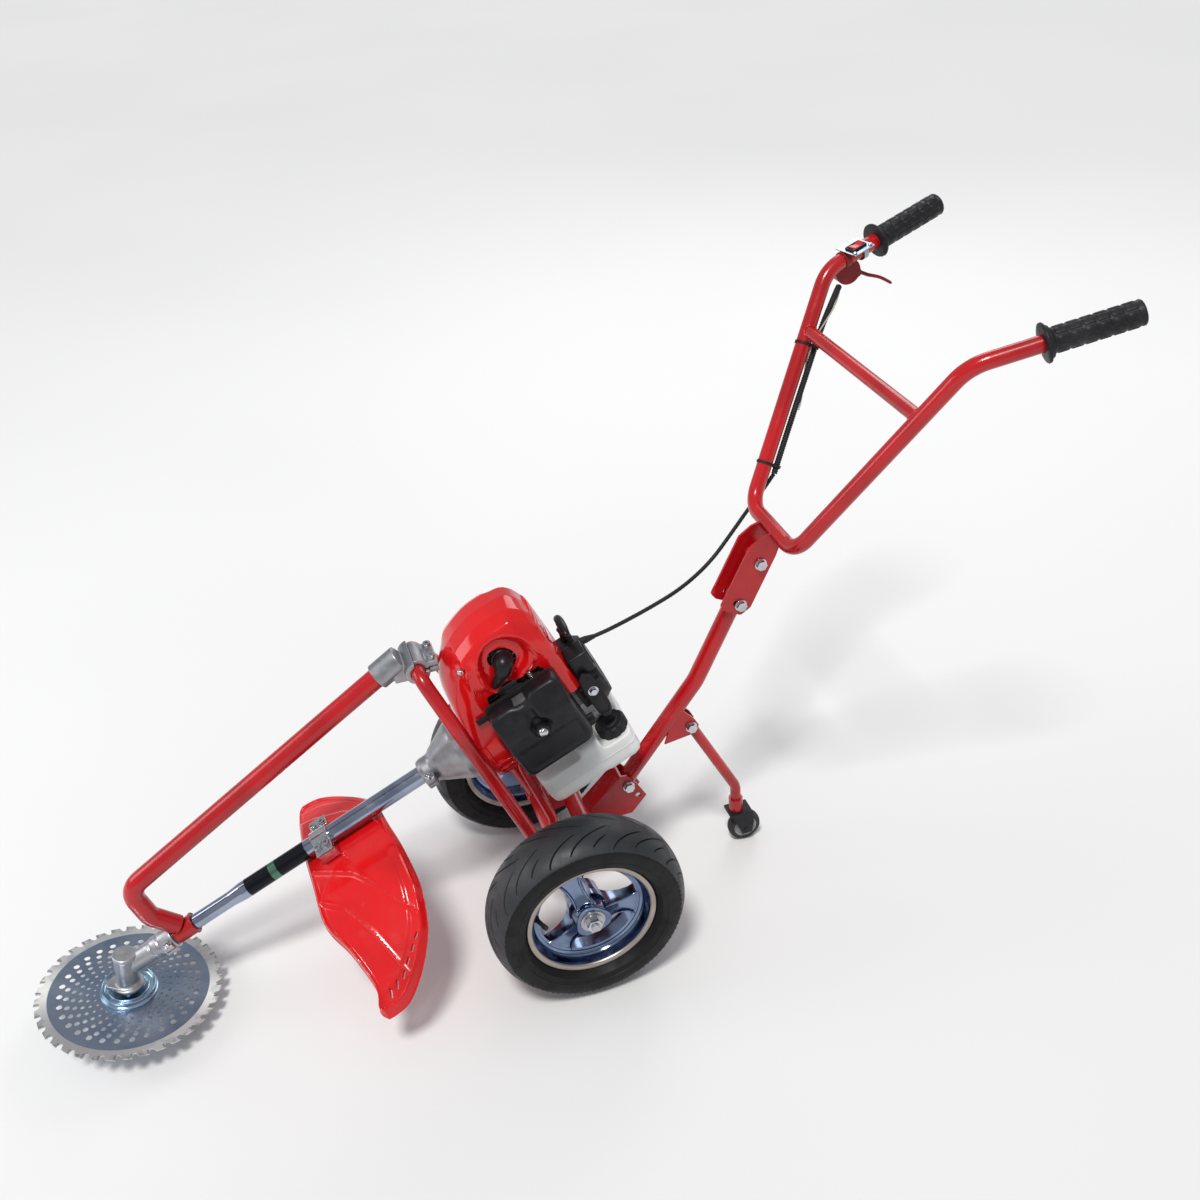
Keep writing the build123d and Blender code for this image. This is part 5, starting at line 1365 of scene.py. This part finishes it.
def lever():
    """Thumb lever: tapered blade that widens into a ribbed paddle."""
    path = through([LEVER_PIVOT, (-594, -203, 808.5), (-605, -203, 803), (-615, -204, 799.3),
                    (-625, -205, 795), (-634, -205.6, 789.6), (-643, -206, 783.4)], 5)
    rings = []
    for i, p in enumerate(path):
        a, b = path[max(i - 1, 0)], path[min(i + 1, len(path) - 1)]
        ahead = (b - a).normalized()
        lift = ahead.cross(Vector((0, 1, 0))).normalized()
        share = i / (len(path) - 1)
        wide = 2.8 + 3.2 * smooth(0.55, 0.95, share)
        thick = 2.9 - 0.8 * share + 0.25 * (i % 2) * smooth(0.6, 0.8, share)
        if share > 0.97:
            wide, thick = wide * 0.75, thick * 0.6
        rings.append([p + Vector((0, 1, 0)) * wide * cos(tau * k / 16) + lift * thick * sin(tau * k / 16)
                      for k in range(16)])
    boss = [(3.05, -3), (7.2, -3), (8, -2.2), (8, 2.2), (7.2, 3), (3.05, 3)]
    boss = moved(turned(boss, 0.6, 2, sides=40), place(LEVER_PIVOT, (1, 0, 0), (0, 1, 0)))
    piece("throttle_lever_blade", loft(rings[2:]), MACHINE, lever_plastic, "throttle", ["throttle_lever"],
          50)
    piece("throttle_lever_boss", boss, Matrix.Identity(4), lever_plastic, "throttle")


# ---------------------------------------------------------------- caster and welds

def caster_wheel():
    at = place(CASTER_CENTRE, (1, 0, 0), (0, 1, 0))
    tread = [(18.2, -8.2), (22, -8.6), (24.6, -7.0), (25.8, -3.6), (26, 0), (25.8, 3.6), (24.6, 7.0),
             (22, 8.6), (18.2, 8.2)]
    piece("caster_wheel_tread", turned(tread, 0.8, 3, sides=72), at, caster_rubber, "caster_roller",
          ["caster_wheel"])
    hub = [(4.06, -10), (8.2, -10), (9, -9.2), (9.2, -6), (14.5, -5.2), (17.2, -7.6), (18.4, -7.8),
           (18.4, 7.8), (17.2, 7.6), (14.5, 5.2), (9.2, 6), (9, 9.2), (8.2, 10), (4.06, 10)]
    piece("caster_wheel_hub", turned(hub, 0.6, 2, sides=64), at, grey_plastic, "caster_roller")


def weld(name, body, centre, direction, radius, on_point=None, on_direction=None, on_radius=0, size=1.7):
    """Rippled bead where a tube of that radius meets another tube, or round the tube itself."""
    ahead = Vector(direction).normalized()
    first = ahead.orthogonal().normalized()
    second = ahead.cross(first)
    line = []
    count = max(40, round(tau * radius / 1.3))
    for k in range(count):
        angle = tau * k / count
        p = Vector(centre) + (first * cos(angle) + second * sin(angle)) * (radius + size * 0.2)
        if on_point is not None:
            run = Vector(on_direction).normalized()
            q, d = p - Vector(on_point), ahead
            q, d = q - run * q.dot(run), d - run * d.dot(run)
            a, b, c = d.dot(d), 2 * q.dot(d), q.dot(q) - (on_radius + size * 0.2) ** 2
            root = b * b - 4 * a * c
            p = p + ahead * ((-b - sqrt(max(root, 0))) / (2 * a))
        line.append(p)
    rings = []
    for k, p in enumerate(line):
        run = (line[(k + 1) % count] - line[k - 1]).normalized()
        side = run.cross(ahead).normalized()
        up = side.cross(run)
        ripple = size * (1 + 0.16 * sin(k * pi * 0.66))
        turns = [tau * j / 10 for j in range(10)]
        rings.append([p + side * ripple * cos(angle) + up * ripple * sin(angle) for angle in turns])
    piece(name, loft(rings, looped=True), MACHINE, weld_bead, body, sharp=70)


def welds():
    axle_tube = ((0, 0, AXLE_Z), (0, 1, 0), AXLE_TUBE_RADIUS)
    for side in (1, -1):
        name = side_name(side)
        low, bend = arm(side)[:2]
        weld("weld_crossbar_" + name, "handle", (-490, side * 100, 757), (0, side, 0), 9.5,
             low, bend - low, 11, 1.5)
        foot = (33 if side > 0 else 14, side * 67.2, 165)
        weld("weld_leg_" + name, "frame", foot, (-0.34, side * -0.04, -0.94), 10, *axle_tube, 1.8)
        weld("weld_stay_" + name, "frame", (1.5, side * 47, 165), (-0.09, 0, -0.995), 7,
             *axle_tube, 1.4)
    weld("weld_saddle_back", "frame", CRANK_END + BACK * -386.4, BACK, 14.4, size=1.3)


# ---------------------------------------------------------------- stage

SUN_FROM = Vector((0.7, 1.2, 2.9))
FLOOR_HALF = 30


def area_light(name, place_at, target, size, power, colour):
    data = bpy.data.lights.new(name, "AREA")
    data.size, data.energy, data.color = size, power, colour
    obj = bpy.data.objects.new(name, data)
    bpy.context.scene.collection.objects.link(obj)
    obj.location = place_at
    obj.rotation_euler = (Vector(target) - Vector(place_at)).to_track_quat("-Z", "Y").to_euler()


def stage():
    floor_mesh = bpy.data.meshes.new("floor")
    corners = [(x * FLOOR_HALF, y * FLOOR_HALF, 0) for x, y in ((-1, -1), (1, -1), (1, 1), (-1, 1))]
    floor_mesh.from_pydata(corners, [], [(0, 1, 2, 3)])
    floor = bpy.data.objects.new("floor", floor_mesh)
    bpy.context.scene.collection.objects.link(floor)
    paper = Finish("floor_paper", (0.82, 0.82, 0.82), 0.8, Specular_IOR_Level=0.2)
    paper.tint(paper.step(paper.noise(0.6, 2), 0.3, 0.7), (0.80, 0.80, 0.805))
    floor_mesh.materials.append(paper.done())
    world = bpy.data.worlds.new("studio")
    bpy.context.scene.world = world
    world.use_nodes = True
    sky = world.node_tree.nodes["Background"]
    sky.inputs["Color"].default_value = (0.93, 0.96, 1.0, 1)
    sky.inputs["Strength"].default_value = 0.42
    sun = bpy.data.lights.new("key", "SUN")
    sun.energy, sun.angle, sun.color = 2.1, radians(12), (1.0, 0.98, 0.95)
    key = bpy.data.objects.new("key", sun)
    bpy.context.scene.collection.objects.link(key)
    key.rotation_euler = (-SUN_FROM).to_track_quat("-Z", "Y").to_euler()
    area_light("side", (2.6, -0.6, 1.5), (0, 0, 0.3), 1.2, 14, (0.95, 0.97, 1.0))
    area_light("back", (-1.6, -2.2, 2.2), (0, 0, 0.4), 1.4, 16, (1.0, 1.0, 1.0))


def camera():
    yaw, pitch, roll = radians(-105.15), radians(33.0), radians(-5.25)
    ahead = Vector((cos(yaw) * cos(pitch), sin(yaw) * cos(pitch), -sin(pitch)))
    level = Vector((sin(yaw), -cos(yaw), 0))
    upright = level.cross(ahead)
    right = level * cos(roll) + upright * sin(roll)
    up = upright * cos(roll) - level * sin(roll)
    data = bpy.data.cameras.new("camera")
    data.lens, data.sensor_width, data.clip_end = 41.05, 36, 100
    obj = bpy.data.objects.new("camera", data)
    bpy.context.scene.collection.objects.link(obj)
    turn = Matrix((right, up, -ahead)).transposed().to_4x4()
    obj.matrix_world = Matrix.Translation((0.28595, 1.50093, 1.51209)) @ turn
    bpy.context.scene.camera = obj


finish_carried_over()
for side in (1, -1):
    tyre(side)
    rim(side)
    grip(side)
blade_tips()
blade_holders()
gear_head()
guard()
clutch_housing()
hood()
fan_housing()
plug_boot()
air_cleaner()
fuel_tank()
fuel_cap()
starter()
throttle_linkage()
for node in ("pole_clamp", "clamp_cap"):
    cast_node(node, cast_metal, "frame")
conduit()
throttle_cable()
switch()
perch()
lever()
caster_wheel()
welds()
stage()
camera()

bpy.context.scene.view_settings.view_transform = "Standard"
